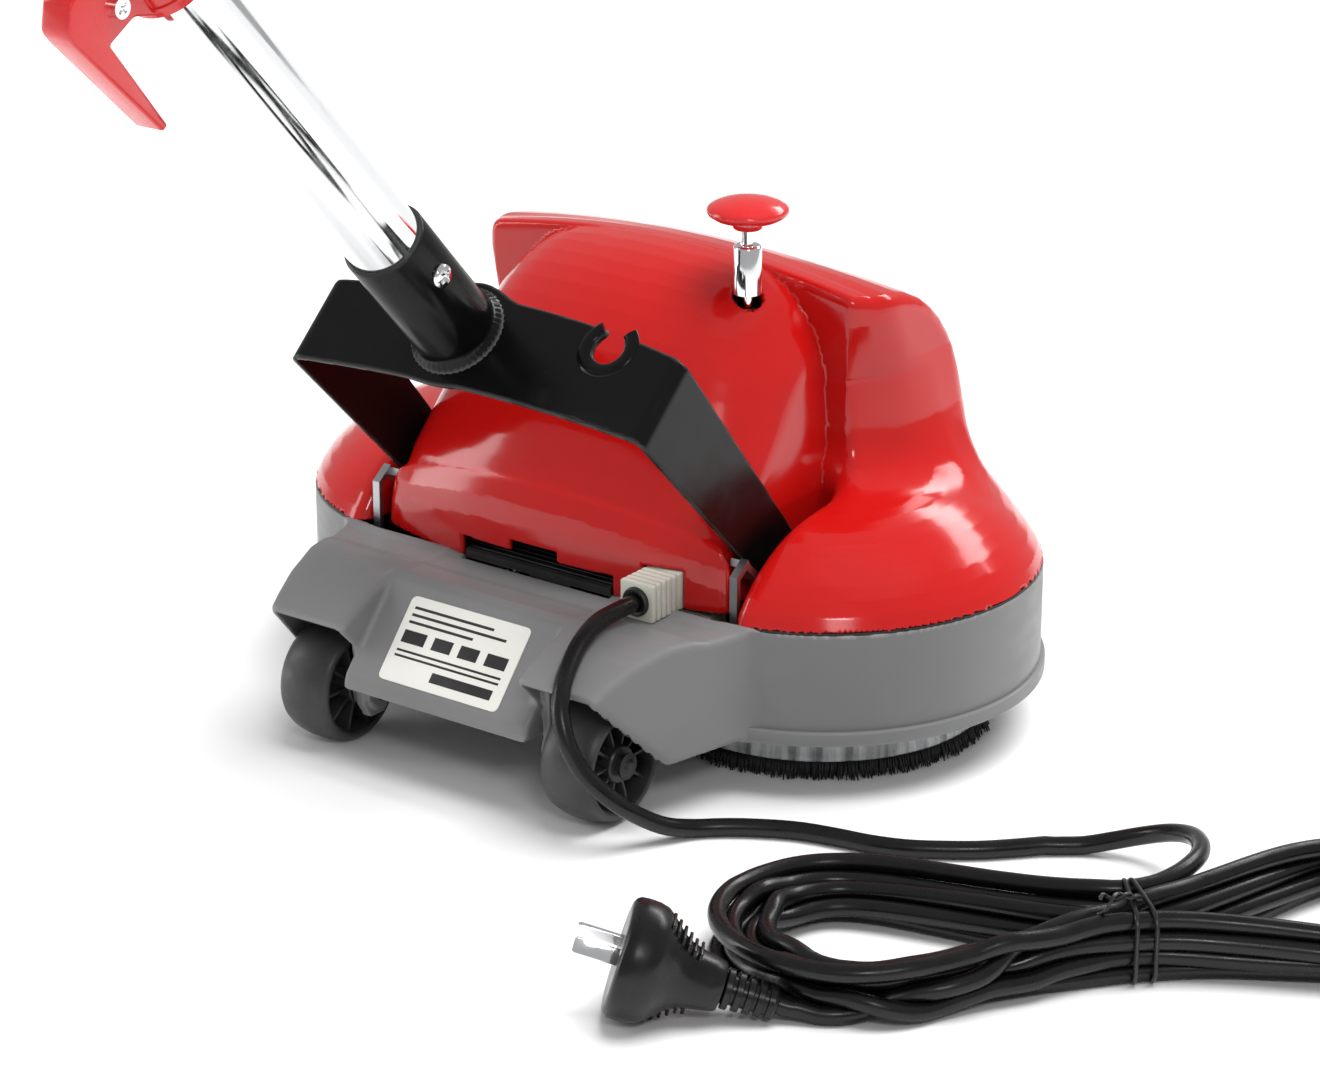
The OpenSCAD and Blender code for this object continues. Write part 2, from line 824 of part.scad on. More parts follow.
module armature() {
    color([0.5, 0.3, 0.2]) at_motor() difference() {
        ring(98, 142, 26, 4);
        for (i = [0:11]) rotate(i * 30) translate([20, -1.5, 97]) cube([7, 3, 46]);
    }
}

module commutator() { color([0.8, 0.45, 0.25]) at_motor() ring(146, 157, 13, 4); }

module cooling_fan() {
    color([0.2, 0.2, 0.22]) at_motor() {
        difference() {
            union() {
                ring(170, 172, 36);
                ring(170, 181, 9);
                for (i = [0:8]) rotate(i * 40) translate([8, -1, 171]) cube([27, 2, 8]);
            }
            ring(160, 190, 4);
        }
    }
}

module motor_pulley() {
    color(steel) at_motor() {
        ring(belt_z - 0.2, belt_z + belt_w + 0.2, small_pulley_r, 4);
        ring(belt_z - 1.6, belt_z - 0.2, small_pulley_r + 2, 4);
        ring(belt_z + belt_w + 0.2, belt_z + belt_w + 1.6, small_pulley_r + 2, 4);
    }
}

// ---------- brushes ----------

gear_teeth = 40;
gear_z = 45.5;
tooth = brush_pitch / gear_teeth;

// Tooth flanks as angle and radius: root, pitch line and tip, with backlash
module gear_outline(turn) {
    pitch_r = brush_pitch / 2;
    step = 360 / gear_teeth;
    flank = [
        [-0.31, pitch_r - 1.1 * tooth], [-0.225, pitch_r], [-0.125, pitch_r + 0.75 * tooth],
        [0.125, pitch_r + 0.75 * tooth], [0.225, pitch_r], [0.31, pitch_r - 1.1 * tooth]
    ];
    polygon([
        for (i = [0:gear_teeth - 1], f = flank)
            let (a = turn + (i + f[0]) * step)
            [f[1] * cos(a), f[1] * sin(a)]
    ]);
}

module gear(side) {
    difference() {
        union() {
            along_z(gear_z, gear_z + 8) difference() {
                // A tooth of the right gear meets a gap of the left one
                gear_outline(side > 0 ? 0 : 360 / gear_teeth / 2);
                for (i = [0:5]) rotate(i * 60) translate([42, 0]) circle(17);
            }
            ring(gear_z - 0.5, gear_z + 9, 12);
        }
        ring(gear_z - 2, gear_z + 12, 4);
    }
}

module right_gear() { color(cream) at_brush(1) gear(1); }

module left_gear() { color(cream) at_brush(-1) gear(-1); }

module spindle(top) {
    difference() {
        union() {
            ring(10, top, 4);
            ring(14, 30, 9);
        }
        // Cross hole for the brush's clip
        translate([0, 0, 19]) rod_x(-20, 20, 1.5);
    }
}

module right_spindle() { color(steel) at_brush(1) spindle(74); }

module left_spindle() { color(steel) at_brush(-1) spindle(67); }

module driven_pulley() {
    color(grey) at_brush(1) difference() {
        union() {
            ring(belt_z - 0.2, belt_z + belt_w + 0.2, pulley_r);
            ring(belt_z - 1.6, belt_z - 0.2, pulley_r + 1.3);
        }
        ring(belt_z - 3, belt_z + belt_w + 1, 4);
        for (i = [0:4]) rotate(i * 72) translate([12, 0]) ring(belt_z - 3, belt_z + belt_w + 1, 4);
    }
}

module brush_block() {
    difference() {
        union() {
            ring(7.5, 16, 72.5);
            ring(7.5, 23, 72.5, 69.5);
            ring(7.5, 30, 15);
        }
        ring(9, 31, 9.05);
        ring(7, 31, 4.5);
    }
}

module right_brush_block() { color([0.75, 0.76, 0.76]) at_brush(1) brush_block(); }

module left_brush_block() { color([0.75, 0.76, 0.76]) at_brush(-1) brush_block(); }

module bristles() {
    difference() {
        cylinder(h = 7.5, r1 = brush_r, r2 = 72.5, $fn = 96);
        ring(-1, 10, 26);
    }
}

module right_bristles() { color(dark) at_brush(1) bristles(); }

module left_bristles() { color(dark) at_brush(-1) bristles(); }

// ---------- wheels ----------

// A wheel about its own axis: a barrel tread, a hub and five ribs
module wheel() {
    half = wheel_w / 2;
    tread = [for (i = [-4:4]) [wheel_r - 3.2 * pow(i / 4, 2), i * half / 4]];
    rotate([0, 90, 0]) difference() {
        union() {
            rotate_extrude($fn = 120) polygon(concat([[wheel_r - 7, -half]], tread, [[wheel_r - 7, half]]));
            ring(-half, half - 1, 8);
            ring(-half + 5, -half + 8, wheel_r - 6);
            for (i = [0:4]) rotate(i * 72) translate([6, -1.1, -half + 6])
                cube([wheel_r - 12, 2.2, wheel_w - 10]);
        }
        ring(-half - 1, half + 1, 4.06);
    }
}

module right_wheel() { color(dark) from_axle() translate([wheel_x, 0, wheel_r]) wheel(); }

module left_wheel() { color(dark) from_axle() translate([-wheel_x, 0, wheel_r]) mirror([1, 0, 0]) wheel(); }

// ---------- cord ----------

cord_r = cord_d / 2;
hank_h = 32;

// The route from the cord grip to the hank, in the frame of the wheel axle
lead_route = [
    [grip_x, 34.2, grip_z], [62.8, 28, 81.7], [62.5, 20, 81.5], [62, 11, 80.8], [62.6, 3, 79],
    [64, -6, 75.8], [67, -16, 71.5], [70, -24, 67], [74, -31, 60], [77.5, -34, 53], [81, -35, 46],
    [86, -33, 36], [91, -29, 28.5], [97, -22, 20], [102, -13, 12.5], [107, -4, 7], [113.5, 7, 4],
    [122, 15, 3.75], [134, 23, 3.75], [148, 30, 3.75], [163, 34, 3.75], [178, 37, 3.75],
    [192, 42, 3.75], [205, 50, 3.75], [217, 59, 3.75], [228, 70, 3.75], [239, 83, 3.8], [250, 94, 5],
    [263, 100, 8], [275, 101, 12], [286, 97, 16], [297, 91, 21], [307, 84, 25], [315, 75, 28],
    [321, 64, 28]
];

module cord_lead() { color(dark) from_axle() tube_along(lead_route, cord_r, 10); }

// Ends, waist and heading of the hank on the floor
hank_left = [233, -46];
hank_left_r = 58;
hank_waist = [315, 13];
hank_right = [374, 90];
hank_right_r = 52;

function heading(a, b) = atan2(b[1] - a[1], b[0] - a[0]);
function arc(centre, r, from, to) = [
    for (i = [0:24]) let (a = from + i * (to - from) / 24) centre + r * [cos(a), sin(a)]
];

// Two open loops, drawn together at the waist
module cord_hank() {
    back = heading(hank_left, hank_waist);
    ahead = heading(hank_waist, hank_right);
    across = (back + ahead) / 2 + 90;
    color(dark) from_axle() along_z(0, hank_h) polygon(concat(
        arc(hank_left, hank_left_r, back + 90, back + 270),
        [hank_waist - 20 * [cos(across), sin(across)]],
        arc(hank_right, hank_right_r, ahead - 90, ahead + 90),
        [hank_waist + 20 * [cos(across), sin(across)]]
    ));
}

// The twist tie round the hank's waist, lying over it like a flat loop
module cord_tie() {
    color(dark) from_axle() translate([hank_waist[0], hank_waist[1], 0])
        rotate(heading(hank_left, hank_right)) along_x(-2, 2) difference() {
        translate([-23.5, 0]) square([47, hank_h + 2]);
        translate([-21.9, -1]) square([43.8, hank_h + 1.02]);
    }
}

// The plug's own frame: X from the face towards the cord
plug_face = [181.5, -135.8, 25.2];
plug_turn = 32;
plug_drop = 16.9;

module on_plug() { from_axle() translate(plug_face) rotate([0, plug_drop, plug_turn]) children(); }

module plug_body() {
    color(dark) on_plug() rotate([0, 90, 0]) {
        rotate_extrude() polygon([
            [0, 0], [21, 0], [23, 1.5], [23.2, 10], [22, 14], [17, 19], [12.5, 25], [10.5, 32], [9.5, 40],
            [0, 40]
        ]);
        for (i = [0:3]) ring(41.5 + i * 4.2, 44.1 + i * 4.2, 7.4 - 0.2 * i);
        ring(39, 60, 5);
        ring(58, 62, 7.4);
    }
}

module plug_blades() {
    color(chrome) on_plug() for (side = [-1, 1])
        translate([0, side * 7, 2.5]) rotate([side * 30, 0, 0])
            translate([-17, -0.8, -3.2]) cube([17, 1.6, 6.4]);
}

base_housing();
top_cover();
cover_seal();
rating_label();
cord_grip();
chassis_plate();
motor_mount();
motor_housing();
stator();
brush_holders();
motor_bearings();
spindle_bearings();
drive_belt();
power_switch();
pedal_springs();
terminal_block();
housing_screws();
wheel_axles();
pivot_pins();
yoke_stops();
guide_bush();
rod_seal();
foot_pedal();
switch_plunger();
lock_rod();
lock_knob();
yoke();
pivot_bushes();
tube_socket();
socket_bolt();
lower_tube();
tube_coupler();
upper_tube();
lower_hook();
hook_screws();
upper_hook();
handle_bar();
hand_grips();
motor_shaft();
armature();
commutator();
cooling_fan();
motor_pulley();
right_spindle();
right_gear();
driven_pulley();
right_brush_block();
right_bristles();
left_spindle();
left_gear();
left_brush_block();
left_bristles();
right_wheel();
left_wheel();
cord_lead();
cord_hank();
cord_tie();
plug_body();
plug_blades();
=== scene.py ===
"""The looks of a twin-brush rotary floor machine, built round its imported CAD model.

Shapes are drawn in millimetres in two frames: the axle frame (X right, Y forward from the wheel axle, Z up)
and the handle frame (origin on the yoke's pivots, Y across the strap, Z up the tube). place() turns them into
the row frame, in metres.
"""
import json
import math

import bpy
import numpy as np
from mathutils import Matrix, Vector
from numpy.linalg import norm


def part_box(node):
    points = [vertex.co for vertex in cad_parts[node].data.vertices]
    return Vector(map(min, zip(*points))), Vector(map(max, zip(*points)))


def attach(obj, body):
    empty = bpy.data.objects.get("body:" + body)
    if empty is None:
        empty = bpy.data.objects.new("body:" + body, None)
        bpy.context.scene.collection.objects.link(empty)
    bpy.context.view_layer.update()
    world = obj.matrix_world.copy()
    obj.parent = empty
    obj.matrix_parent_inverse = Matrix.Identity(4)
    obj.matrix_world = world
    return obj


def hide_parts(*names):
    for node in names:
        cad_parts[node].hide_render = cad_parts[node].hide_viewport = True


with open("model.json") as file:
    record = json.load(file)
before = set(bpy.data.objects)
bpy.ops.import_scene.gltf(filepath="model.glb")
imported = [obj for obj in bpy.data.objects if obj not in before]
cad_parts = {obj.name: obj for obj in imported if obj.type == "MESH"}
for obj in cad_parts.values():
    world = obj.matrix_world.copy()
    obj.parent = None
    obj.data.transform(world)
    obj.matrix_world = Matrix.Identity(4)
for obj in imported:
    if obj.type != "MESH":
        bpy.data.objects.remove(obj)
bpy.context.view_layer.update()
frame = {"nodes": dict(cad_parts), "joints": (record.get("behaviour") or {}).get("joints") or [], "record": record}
rng = np.random.default_rng(7)
joints = {joint["name"]: joint for joint in frame["joints"]}


# ---------- places taken from the frame ----------

def node_box(node):
    """A CAD node's lowest and highest corners, in millimetres."""
    return [np.array(corner) * 1000 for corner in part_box(node)]


def node_middle(node):
    low, high = node_box(node)
    return (low + high) / 2


AXLE_Y = node_middle("right_wheel")[1]
BRUSH = node_middle("right_bristles") - [0, AXLE_Y, 0]
BRUSH_X, BRUSH_Y = BRUSH[0], BRUSH[1]
BRUSH_R = (node_box("right_bristles")[1] - node_box("right_bristles")[0])[0] / 2
PIVOT = np.array(joints["handle_fold"]["pos_m"]) * 1000 - [0, AXLE_Y, 0]
TILT = -math.radians(joints["handle_fold"]["range_deg"][0])
TUBE_X, TUBE_B = -17.5, 10.0
KNOB = node_middle("lock_knob") - [0, AXLE_Y, 0]
SPLIT_Z = 73.5
AXLE_Z = 26
WHEEL_X = 69.8
GRIP_AT = (62.85, 0, 81.7)
CORD_R = 3.75


def place(points):
    """Axle frame, millimetres, to the row frame, metres."""
    return (np.asarray(points, float) + [0, AXLE_Y, 0]) / 1000


def from_handle(points):
    """Handle frame to axle frame."""
    x, b, h = np.asarray(points, float).T
    c, s = math.cos(TILT), math.sin(TILT)
    return np.stack([PIVOT[0] + x, PIVOT[1] + b * c - h * s, PIVOT[2] + b * s + h * c], -1)


def turned(points, axes, at=(0, 0, 0)):
    """Points measured along three axes, moved to at."""
    return np.asarray(points, float) @ np.asarray(axes, float) + np.asarray(at, float)


ALONG_X = [[0, 1, 0], [0, 0, 1], [1, 0, 0]]
AS_DRAWN = [[1, 0, 0], [0, 1, 0], [0, 0, 1]]


# ---------- camera ----------

CAMERA_AT = (1020, -1238.8, 722.9)
CAMERA_AZIMUTH, CAMERA_PITCH = 36.59, 21.09
CAMERA_LENS = 114.5


def make_camera():
    """The photograph's view: from behind and to the right, a little above."""
    azimuth, pitch = math.radians(CAMERA_AZIMUTH), math.radians(CAMERA_PITCH)
    level = math.cos(pitch)
    ahead = Vector((-math.sin(azimuth) * level, math.cos(azimuth) * level, -math.sin(pitch)))
    data = bpy.data.cameras.new("camera")
    data.sensor_width = 36
    data.lens = CAMERA_LENS
    data.clip_end = 20
    camera = bpy.data.objects.new("camera", data)
    camera.location = place(CAMERA_AT)
    camera.rotation_mode = "QUATERNION"
    camera.rotation_quaternion = ahead.to_track_quat("-Z", "Y")
    bpy.context.scene.collection.objects.link(camera)
    bpy.context.scene.camera = camera


make_camera()


# ---------- materials ----------

MATERIALS = {}


def new_material(name, color, roughness, metallic=0.0, **sockets):
    MATERIALS[name] = material = bpy.data.materials.new(name)
    material.use_nodes = True
    shader = material.node_tree.nodes["Principled BSDF"]
    shader.inputs["Base Color"].default_value = (*color, 1)
    shader.inputs["Roughness"].default_value = roughness
    shader.inputs["Metallic"].default_value = metallic
    for socket, value in sockets.items():
        shader.inputs[socket.replace("_", " ")].default_value = value
    return material


def noise(material, scale, detail=4.0, stretch=(1, 1, 1)):
    """A noise texture in the row frame, with scale in repeats per metre."""
    nodes, links = material.node_tree.nodes, material.node_tree.links
    where = nodes.new("ShaderNodeTexCoord")
    mapping = nodes.new("ShaderNodeMapping")
    mapping.inputs["Scale"].default_value = stretch
    texture = nodes.new("ShaderNodeTexNoise")
    texture.inputs["Scale"].default_value = scale
    texture.inputs["Detail"].default_value = detail
    links.new(where.outputs["Object"], mapping.inputs["Vector"])
    links.new(mapping.outputs["Vector"], texture.inputs["Vector"])
    return texture.outputs["Fac"]


def between(material, factor, low, high, start=0.3, end=0.7):
    """Maps a factor to a value between low and high."""
    ramp = material.node_tree.nodes.new("ShaderNodeMapRange")
    ramp.inputs["From Min"].default_value = start
    ramp.inputs["From Max"].default_value = end
    ramp.inputs["To Min"].default_value = low
    ramp.inputs["To Max"].default_value = high
    material.node_tree.links.new(factor, ramp.inputs["Value"])
    return ramp.outputs["Result"]


def vary_roughness(material, factor, low, high):
    shader = material.node_tree.nodes["Principled BSDF"]
    material.node_tree.links.new(between(material, factor, low, high), shader.inputs["Roughness"])


def base_color(material):
    return material.node_tree.nodes["Principled BSDF"].inputs["Base Color"]


def color_mix(material, factor, low, high):
    mix = material.node_tree.nodes.new("ShaderNodeMix")
    mix.data_type = "RGBA"
    mix.inputs["A"].default_value = (*low, 1)
    mix.inputs["B"].default_value = (*high, 1)
    material.node_tree.links.new(factor, mix.inputs["Factor"])
    return mix


def vary_color(material, factor, dark, light, start=0.3, end=0.7):
    mix = color_mix(material, between(material, factor, 0, 1, start, end), dark, light)
    material.node_tree.links.new(mix.outputs["Result"], base_color(material))


def bump(material, height, distance, strength=1.0):
    """Chains a bump of that depth in metres onto the shader's normal."""
    nodes, links = material.node_tree.nodes, material.node_tree.links
    node = nodes.new("ShaderNodeBump")
    node.inputs["Strength"].default_value = strength
    node.inputs["Distance"].default_value = distance
    links.new(height, node.inputs["Height"])
    shader = nodes["Principled BSDF"]
    if shader.inputs["Normal"].is_linked:
        links.new(shader.inputs["Normal"].links[0].from_socket, node.inputs["Normal"])
    links.new(node.outputs["Normal"], shader.inputs["Normal"])


def painted_edge_highlights(material, color, amount):
    """Paler colour on sharp edges, from the surface's curvature: painted edge highlights."""
    links, base = material.node_tree.links, base_color(material)
    geometry = material.node_tree.nodes.new("ShaderNodeNewGeometry")
    factor = between(material, geometry.outputs["Pointiness"], 0, amount, 0.53, 0.62)
    mix = color_mix(material, factor, base.default_value[:3], color)
    if base.is_linked:
        links.new(base.links[0].from_socket, mix.inputs["A"])
    links.new(mix.outputs["Result"], base)


def red_gloss():
    """Glossy injection-moulded plastic with a faint long-wave ripple and a few dull patches."""
    m = new_material("red_gloss", (0.50, 0.006, 0.005), 0.14, Coat_Weight=0.12, Coat_Roughness=0.04, IOR=1.46)
    vary_color(m, noise(m, 9, 3), (0.47, 0.005, 0.004), (0.53, 0.007, 0.006))
    vary_roughness(m, noise(m, 60, 5), 0.10, 0.18)
    bump(m, noise(m, 30, 2), 0.00006, 0.3)
    bump(m, noise(m, 1400, 2), 0.000012, 0.25)


def grey_satin():
    """Satin plastic with a fine spark-eroded grain and soft handling marks."""
    m = new_material("grey_plastic", (0.19, 0.19, 0.193), 0.38, IOR=1.45)
    vary_color(m, noise(m, 14, 6), (0.178, 0.178, 0.181), (0.202, 0.202, 0.205))
    vary_roughness(m, noise(m, 45, 6, (1, 1, 3)), 0.34, 0.50)
    bump(m, noise(m, 1600, 3), 0.00004, 0.35)
    # Paler edges: painted edge highlights
    painted_edge_highlights(m, (0.34, 0.34, 0.345), 0.55)


def black_enamel():
    """Glossy black paint on steel: orange peel, and painted highlights along the edges."""
    m = new_material("black_steel", (0.003, 0.003, 0.003), 0.2, IOR=1.3)
    vary_roughness(m, noise(m, 70, 5), 0.14, 0.28)
    bump(m, noise(m, 420, 2), 0.00004, 0.35)
    painted_edge_highlights(m, (0.16, 0.16, 0.16), 0.6)


def chrome():
    """Bright plating with faint lengthwise haze and a slow ripple."""
    m = new_material("chrome", (0.86, 0.87, 0.88), 0.06, 1.0)
    vary_roughness(m, noise(m, 120, 6, (1, 1, 0.2)), 0.042, 0.12)
    bump(m, noise(m, 60, 3), 0.00002, 0.2)


def plastic(name, color, roughness, grain=1500, depth=0.00004, spread=0.15, **sockets):
    """Moulded plastic or rubber with its own grain and a slight change of colour."""
    m = new_material(name, color, roughness, **sockets)
    low, high = [tuple(min(1, c * (1 + side * spread)) for c in color) for side in (-1, 1)]
    vary_color(m, noise(m, 40, 5), low, high)
    vary_roughness(m, noise(m, 130, 5), max(0.03, roughness - 0.08), min(1, roughness + 0.10))
    bump(m, noise(m, grain, 3), depth, 0.4)
    return m


def metal(name, color, roughness, stretch=(1, 1, 12)):
    """Brushed, plated or cast metal with a directional grain."""
    m = new_material(name, color, roughness, 1.0)
    low, high = tuple(c * 0.86 for c in color), tuple(min(1, c * 1.1) for c in color)
    vary_color(m, noise(m, 60, 6), low, high)
    vary_roughness(m, noise(m, 300, 6, stretch), roughness * 0.75, roughness * 1.35)
    bump(m, noise(m, 900, 3, stretch), 0.00002, 0.4)
    return m


def cord_jacket():
    """Soft black sheath with a faint sheen, dusty patches and shallow dents."""
    m = plastic("cord_rubber", (0.004, 0.004, 0.004), 0.28, 900, 0.00005, 0.3, IOR=1.42)
    bump(m, noise(m, 160, 4), 0.0001, 0.25)


def block_clear():
    """Cloudy grey plastic with upright mould streaks, through which the tufts show darkly."""
    m = new_material("block_plastic", (0.36, 0.37, 0.37), 0.28, Subsurface_Weight=0.15)
    vary_color(m, noise(m, 210, 6, (1, 1, 0.08)), (0.16, 0.165, 0.165), (0.62, 0.63, 0.63), 0.36, 0.60)
    vary_roughness(m, noise(m, 90, 5), 0.20, 0.42)
    bump(m, noise(m, 260, 4, (1, 1, 0.15)), 0.0002, 0.4)


def copper_windings():
    """Enamelled wire, wound in fine ridges."""
    m = metal("core_iron", (0.42, 0.24, 0.14), 0.4, (1, 1, 30))
    bump(m, noise(m, 220, 2, (1, 1, 20)), 0.0003, 0.6)


grey_satin()
red_gloss()
plastic("red_plastic", (0.62, 0.014, 0.016), 0.22, 900, 0.00003, 0.05, Coat_Weight=0.3)
plastic("black_rubber", (0.018, 0.018, 0.018), 0.6, 700, 0.0001, 0.3)
plastic("label_film", (0.80, 0.79, 0.74), 0.38, 900, 0.00002, 0.02)
plastic("cream_plastic", (0.66, 0.63, 0.54), 0.42, 1100, 0.00005, 0.04, Subsurface_Weight=0.1)
metal("zinc_steel", (0.45, 0.46, 0.48), 0.36)
black_enamel()
chrome()
metal("brass", (0.72, 0.53, 0.25), 0.3)
plastic("black_plastic", (0.016, 0.016, 0.017), 0.42, 1200, 0.00006, 0.25)
plastic("switch_red", (0.5, 0.02, 0.02), 0.35)
copper_windings()
plastic("nylon", (0.62, 0.60, 0.52), 0.42, 900, 0.00004, 0.04, Subsurface_Weight=0.2)
metal("cast_alloy", (0.5, 0.5, 0.52), 0.45, (1, 1, 1))
block_clear()
plastic("bristle", (0.012, 0.012, 0.013), 0.5, 2500, 0.00003, 0.5)
plastic("wheel_plastic", (0.030, 0.030, 0.031), 0.42, 500, 0.00012, 0.45)
cord_jacket()
plastic("tie_plastic", (0.010, 0.010, 0.010), 0.3, 800, 0.00005, 0.3)


# ---------- mesh helpers ----------

def linked(item):
    bpy.context.scene.collection.objects.link(item)
    return item


def add_piece(name, points, faces, slot, body, replaces=(), normals=None, sharp=35.0, to=None):
    """A mesh piece in the row frame. Points are in the axle frame unless to says how to get there."""
    if to is not None:
        points = to(points)
    mesh = bpy.data.meshes.new(name)
    mesh.from_pydata(place(points).tolist(), [], [list(map(int, face)) for face in faces])
    mesh.polygons.foreach_set("use_smooth", [True] * len(mesh.polygons))
    if normals is not None:
        mesh.normals_split_custom_set_from_vertices(normals.tolist())
    else:
        mesh.set_sharp_from_angle(angle=math.radians(sharp))
    mesh.materials.append(MATERIALS[slot])
    piece = linked(bpy.data.objects.new(name, mesh))
    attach(piece, body)
    if replaces:
        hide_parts(*replaces)
    return piece


def joined(parts):
    """Several (points, faces) as one."""
    points, faces, start = [], [], 0
    for some_points, some_faces in parts:
        points.append(np.asarray(some_points, float))
        faces.extend([[i + start for i in face] for face in some_faces])
        start += len(some_points)
    return np.concatenate(points), faces


def rounded(outline, radius, steps=5):
    """An outline with each corner turned into an arc; radius is one number or one per corner."""
    pts = [np.array(p, float) for p in outline]
    radii = [radius] * len(pts) if np.isscalar(radius) else list(radius)
    made = []
    for i, p in enumerate(pts):
        if radii[i] <= 0:
            made.append(p)
            continue
        a, b = pts[i - 1] - p, pts[(i + 1) % len(pts)] - p
        la, lb = norm(a), norm(b)
        a, b = a / la, b / lb
        angle = math.acos(np.clip(a @ b, -1, 1))
        if angle > math.pi - 0.02:
            made.append(p)
            continue
        cut = min(radii[i] / math.tan(angle / 2), 0.49 * la, 0.49 * lb)
        start, end = p + a * cut, p + b * cut
        for t in np.linspace(0, 1, steps + 1):
            made.append((1 - t) ** 2 * start + 2 * t * (1 - t) * p + t ** 2 * end)
    return np.array(made)


def lathe(profile, sides=96, axes=AS_DRAWN, at=(0, 0, 0)):
    """A closed (radius, height) profile turned round; a radius of 0 makes a pole."""
    profile = np.asarray(profile, float)
    angles = np.linspace(0, 2 * math.pi, sides, endpoint=False)
    points, rows = [], []
    for radius, height in profile:
        if abs(radius) < 1e-9:
            rows.append([len(points)] * sides)
            points.append((0, 0, height))
        else:
            rows.append(list(range(len(points), len(points) + sides)))
            points.extend((radius * math.cos(a), radius * math.sin(a), height) for a in angles)
    faces = []
    for i in range(len(profile)):
        low, high = rows[i], rows[(i + 1) % len(profile)]
        if low[0] == low[-1] and high[0] == high[-1]:
            continue
        for k in range(sides):
            n = (k + 1) % sides
            face = [low[k], low[n], high[n], high[k]]
            face = [v for j, v in enumerate(face) if v != face[j - 1]]
            if len(face) >= 3:
                faces.append(face)
    return turned(points, axes, at), faces


def strips(rows, columns, closed=False):
    """Quads between rings of points; open stacks of rings get a face at each end."""
    faces = []
    for i in range(rows if closed else rows - 1):
        low, high = i * columns, (i + 1) % rows * columns
        for k in range(columns):
            n = (k + 1) % columns
            faces.append([low + k, low + n, high + n, high + k])
    if not closed:
        faces.append(list(range(columns))[::-1])
        faces.append([(rows - 1) * columns + k for k in range(columns)])
    return faces


def tube(path, radius, sides):
    """A closed round tube along a path."""
    path = np.asarray(path, float)
    way = np.gradient(path, axis=0)
    way /= norm(way, axis=1)[:, None]
    side = np.cross(way[0], [0, 0, 1.0])
    if norm(side) < 0.1:
        side = np.cross(way[0], [0, 1.0, 0])
    sides_at = []
    for w in way:
        side = side - w * (side @ w)
        side /= norm(side)
        sides_at.append(side)
    sides_at = np.array(sides_at)
    ups = np.cross(sides_at, way)
    a = np.linspace(0, 2 * math.pi, sides, endpoint=False)
    ring = np.cos(a)[None, :, None] * sides_at[:, None] + np.sin(a)[None, :, None] * ups[:, None]
    return (path[:, None] + radius * ring).reshape(-1, 3), strips(len(path), sides)


def smooth_line(points, spacing=None, count=None):
    """A centripetal curve through given points, at even spacing."""
    p = np.asarray(points, float)
    p = np.vstack([2 * p[0] - p[1], p, 2 * p[-1] - p[-2]])
    out = []
    for i in range(1, len(p) - 2):
        gaps = np.sqrt(norm(np.diff(p[i - 1:i + 3], axis=0), axis=1)) + 1e-9
        knots = np.concatenate([[0], np.cumsum(gaps)])
        t = np.linspace(knots[1], knots[2], 24, endpoint=False)[:, None]
        row = p[i - 1:i + 3]
        for starts, width in (((0, 1, 2), 1), ((0, 1), 2), ((1,), 1)):
            ends = [(knots[k], knots[k + width]) for k in starts]
            row = [(b - t) / (b - a) * row[k] + (t - a) / (b - a) * row[k + 1]
                   for k, (a, b) in enumerate(ends)]
        out.append(row[0])
    out = np.vstack(out + [p[-2][None]])
    along = np.concatenate([[0], np.cumsum(norm(np.diff(out, axis=0), axis=1))])
    if count is None:
        count = max(2, int(round(along[-1] / spacing)) + 1)
    even = np.linspace(0, along[-1], count)
    return np.stack([np.interp(even, along, out[:, k]) for k in range(out.shape[1])], -1)


def slab(outline, low, high, bevel=0.6):
    """An anticlockwise outline turned into a plate between two heights, with rounded edges."""
    outline = np.asarray(outline, float)
    before, after = outline - np.roll(outline, 1, axis=0), np.roll(outline, -1, axis=0) - outline
    out = []
    for edge in (before, after):
        normal = np.stack([edge[:, 1], -edge[:, 0]], -1)
        out.append(normal / norm(normal, axis=1)[:, None])
    miter = (out[0] + out[1]) / np.maximum(1 + (out[0] * out[1]).sum(1), 0.3)[:, None]
    rings = []
    for t in np.linspace(0, math.pi / 2, 4):
        rings.append((bevel * (1 - math.sin(t)), low + bevel * (1 - math.cos(t))))
    rings += [(inset, low + high - height) for inset, height in rings[::-1]]
    points = np.concatenate([np.column_stack([outline - inset * miter, np.full(len(outline), height)])
                             for inset, height in rings])
    return points, strips(len(rings), len(outline))


def block(low, high, radius=1.0, bevel=0.5, axes=AS_DRAWN, at=(0, 0, 0)):
    """A box with rounded upright corners and softened edges."""
    (x0, y0, z0), (x1, y1, z1) = low, high
    outline = rounded([(x0, y0), (x1, y0), (x1, y1), (x0, y1)], radius, 4)
    points, faces = slab(outline, z0, z1, bevel)
    return turned(points, axes, at), faces


# ---------- surfaces made from fields, negative inside ----------

def smin(a, b, k):
    """The lower of two fields, blended over k millimetres."""
    h = np.maximum(k - np.abs(a - b), 0) / k
    return np.minimum(a, b) - h * h * k / 4


def smax(a, b, k):
    return -smin(-a, -b, k)


def outline_field(u, v, outline):
    """Signed distance to a closed outline."""
    outline = np.asarray(outline, float)
    best, inside = np.inf, False
    for (au, av), (bu, bv) in zip(outline, np.roll(outline, -1, axis=0)):
        eu, ev = bu - au, bv - av
        pu, pv = u - au, v - av
        t = np.clip((pu * eu + pv * ev) / (eu * eu + ev * ev), 0, 1)
        best = np.minimum(best, (pu - t * eu) ** 2 + (pv - t * ev) ** 2)
        if av != bv:
            inside = inside ^ (((av > v) != (bv > v)) & (pu < pv * eu / ev))
    return np.where(inside, -1.0, 1.0) * np.sqrt(best)


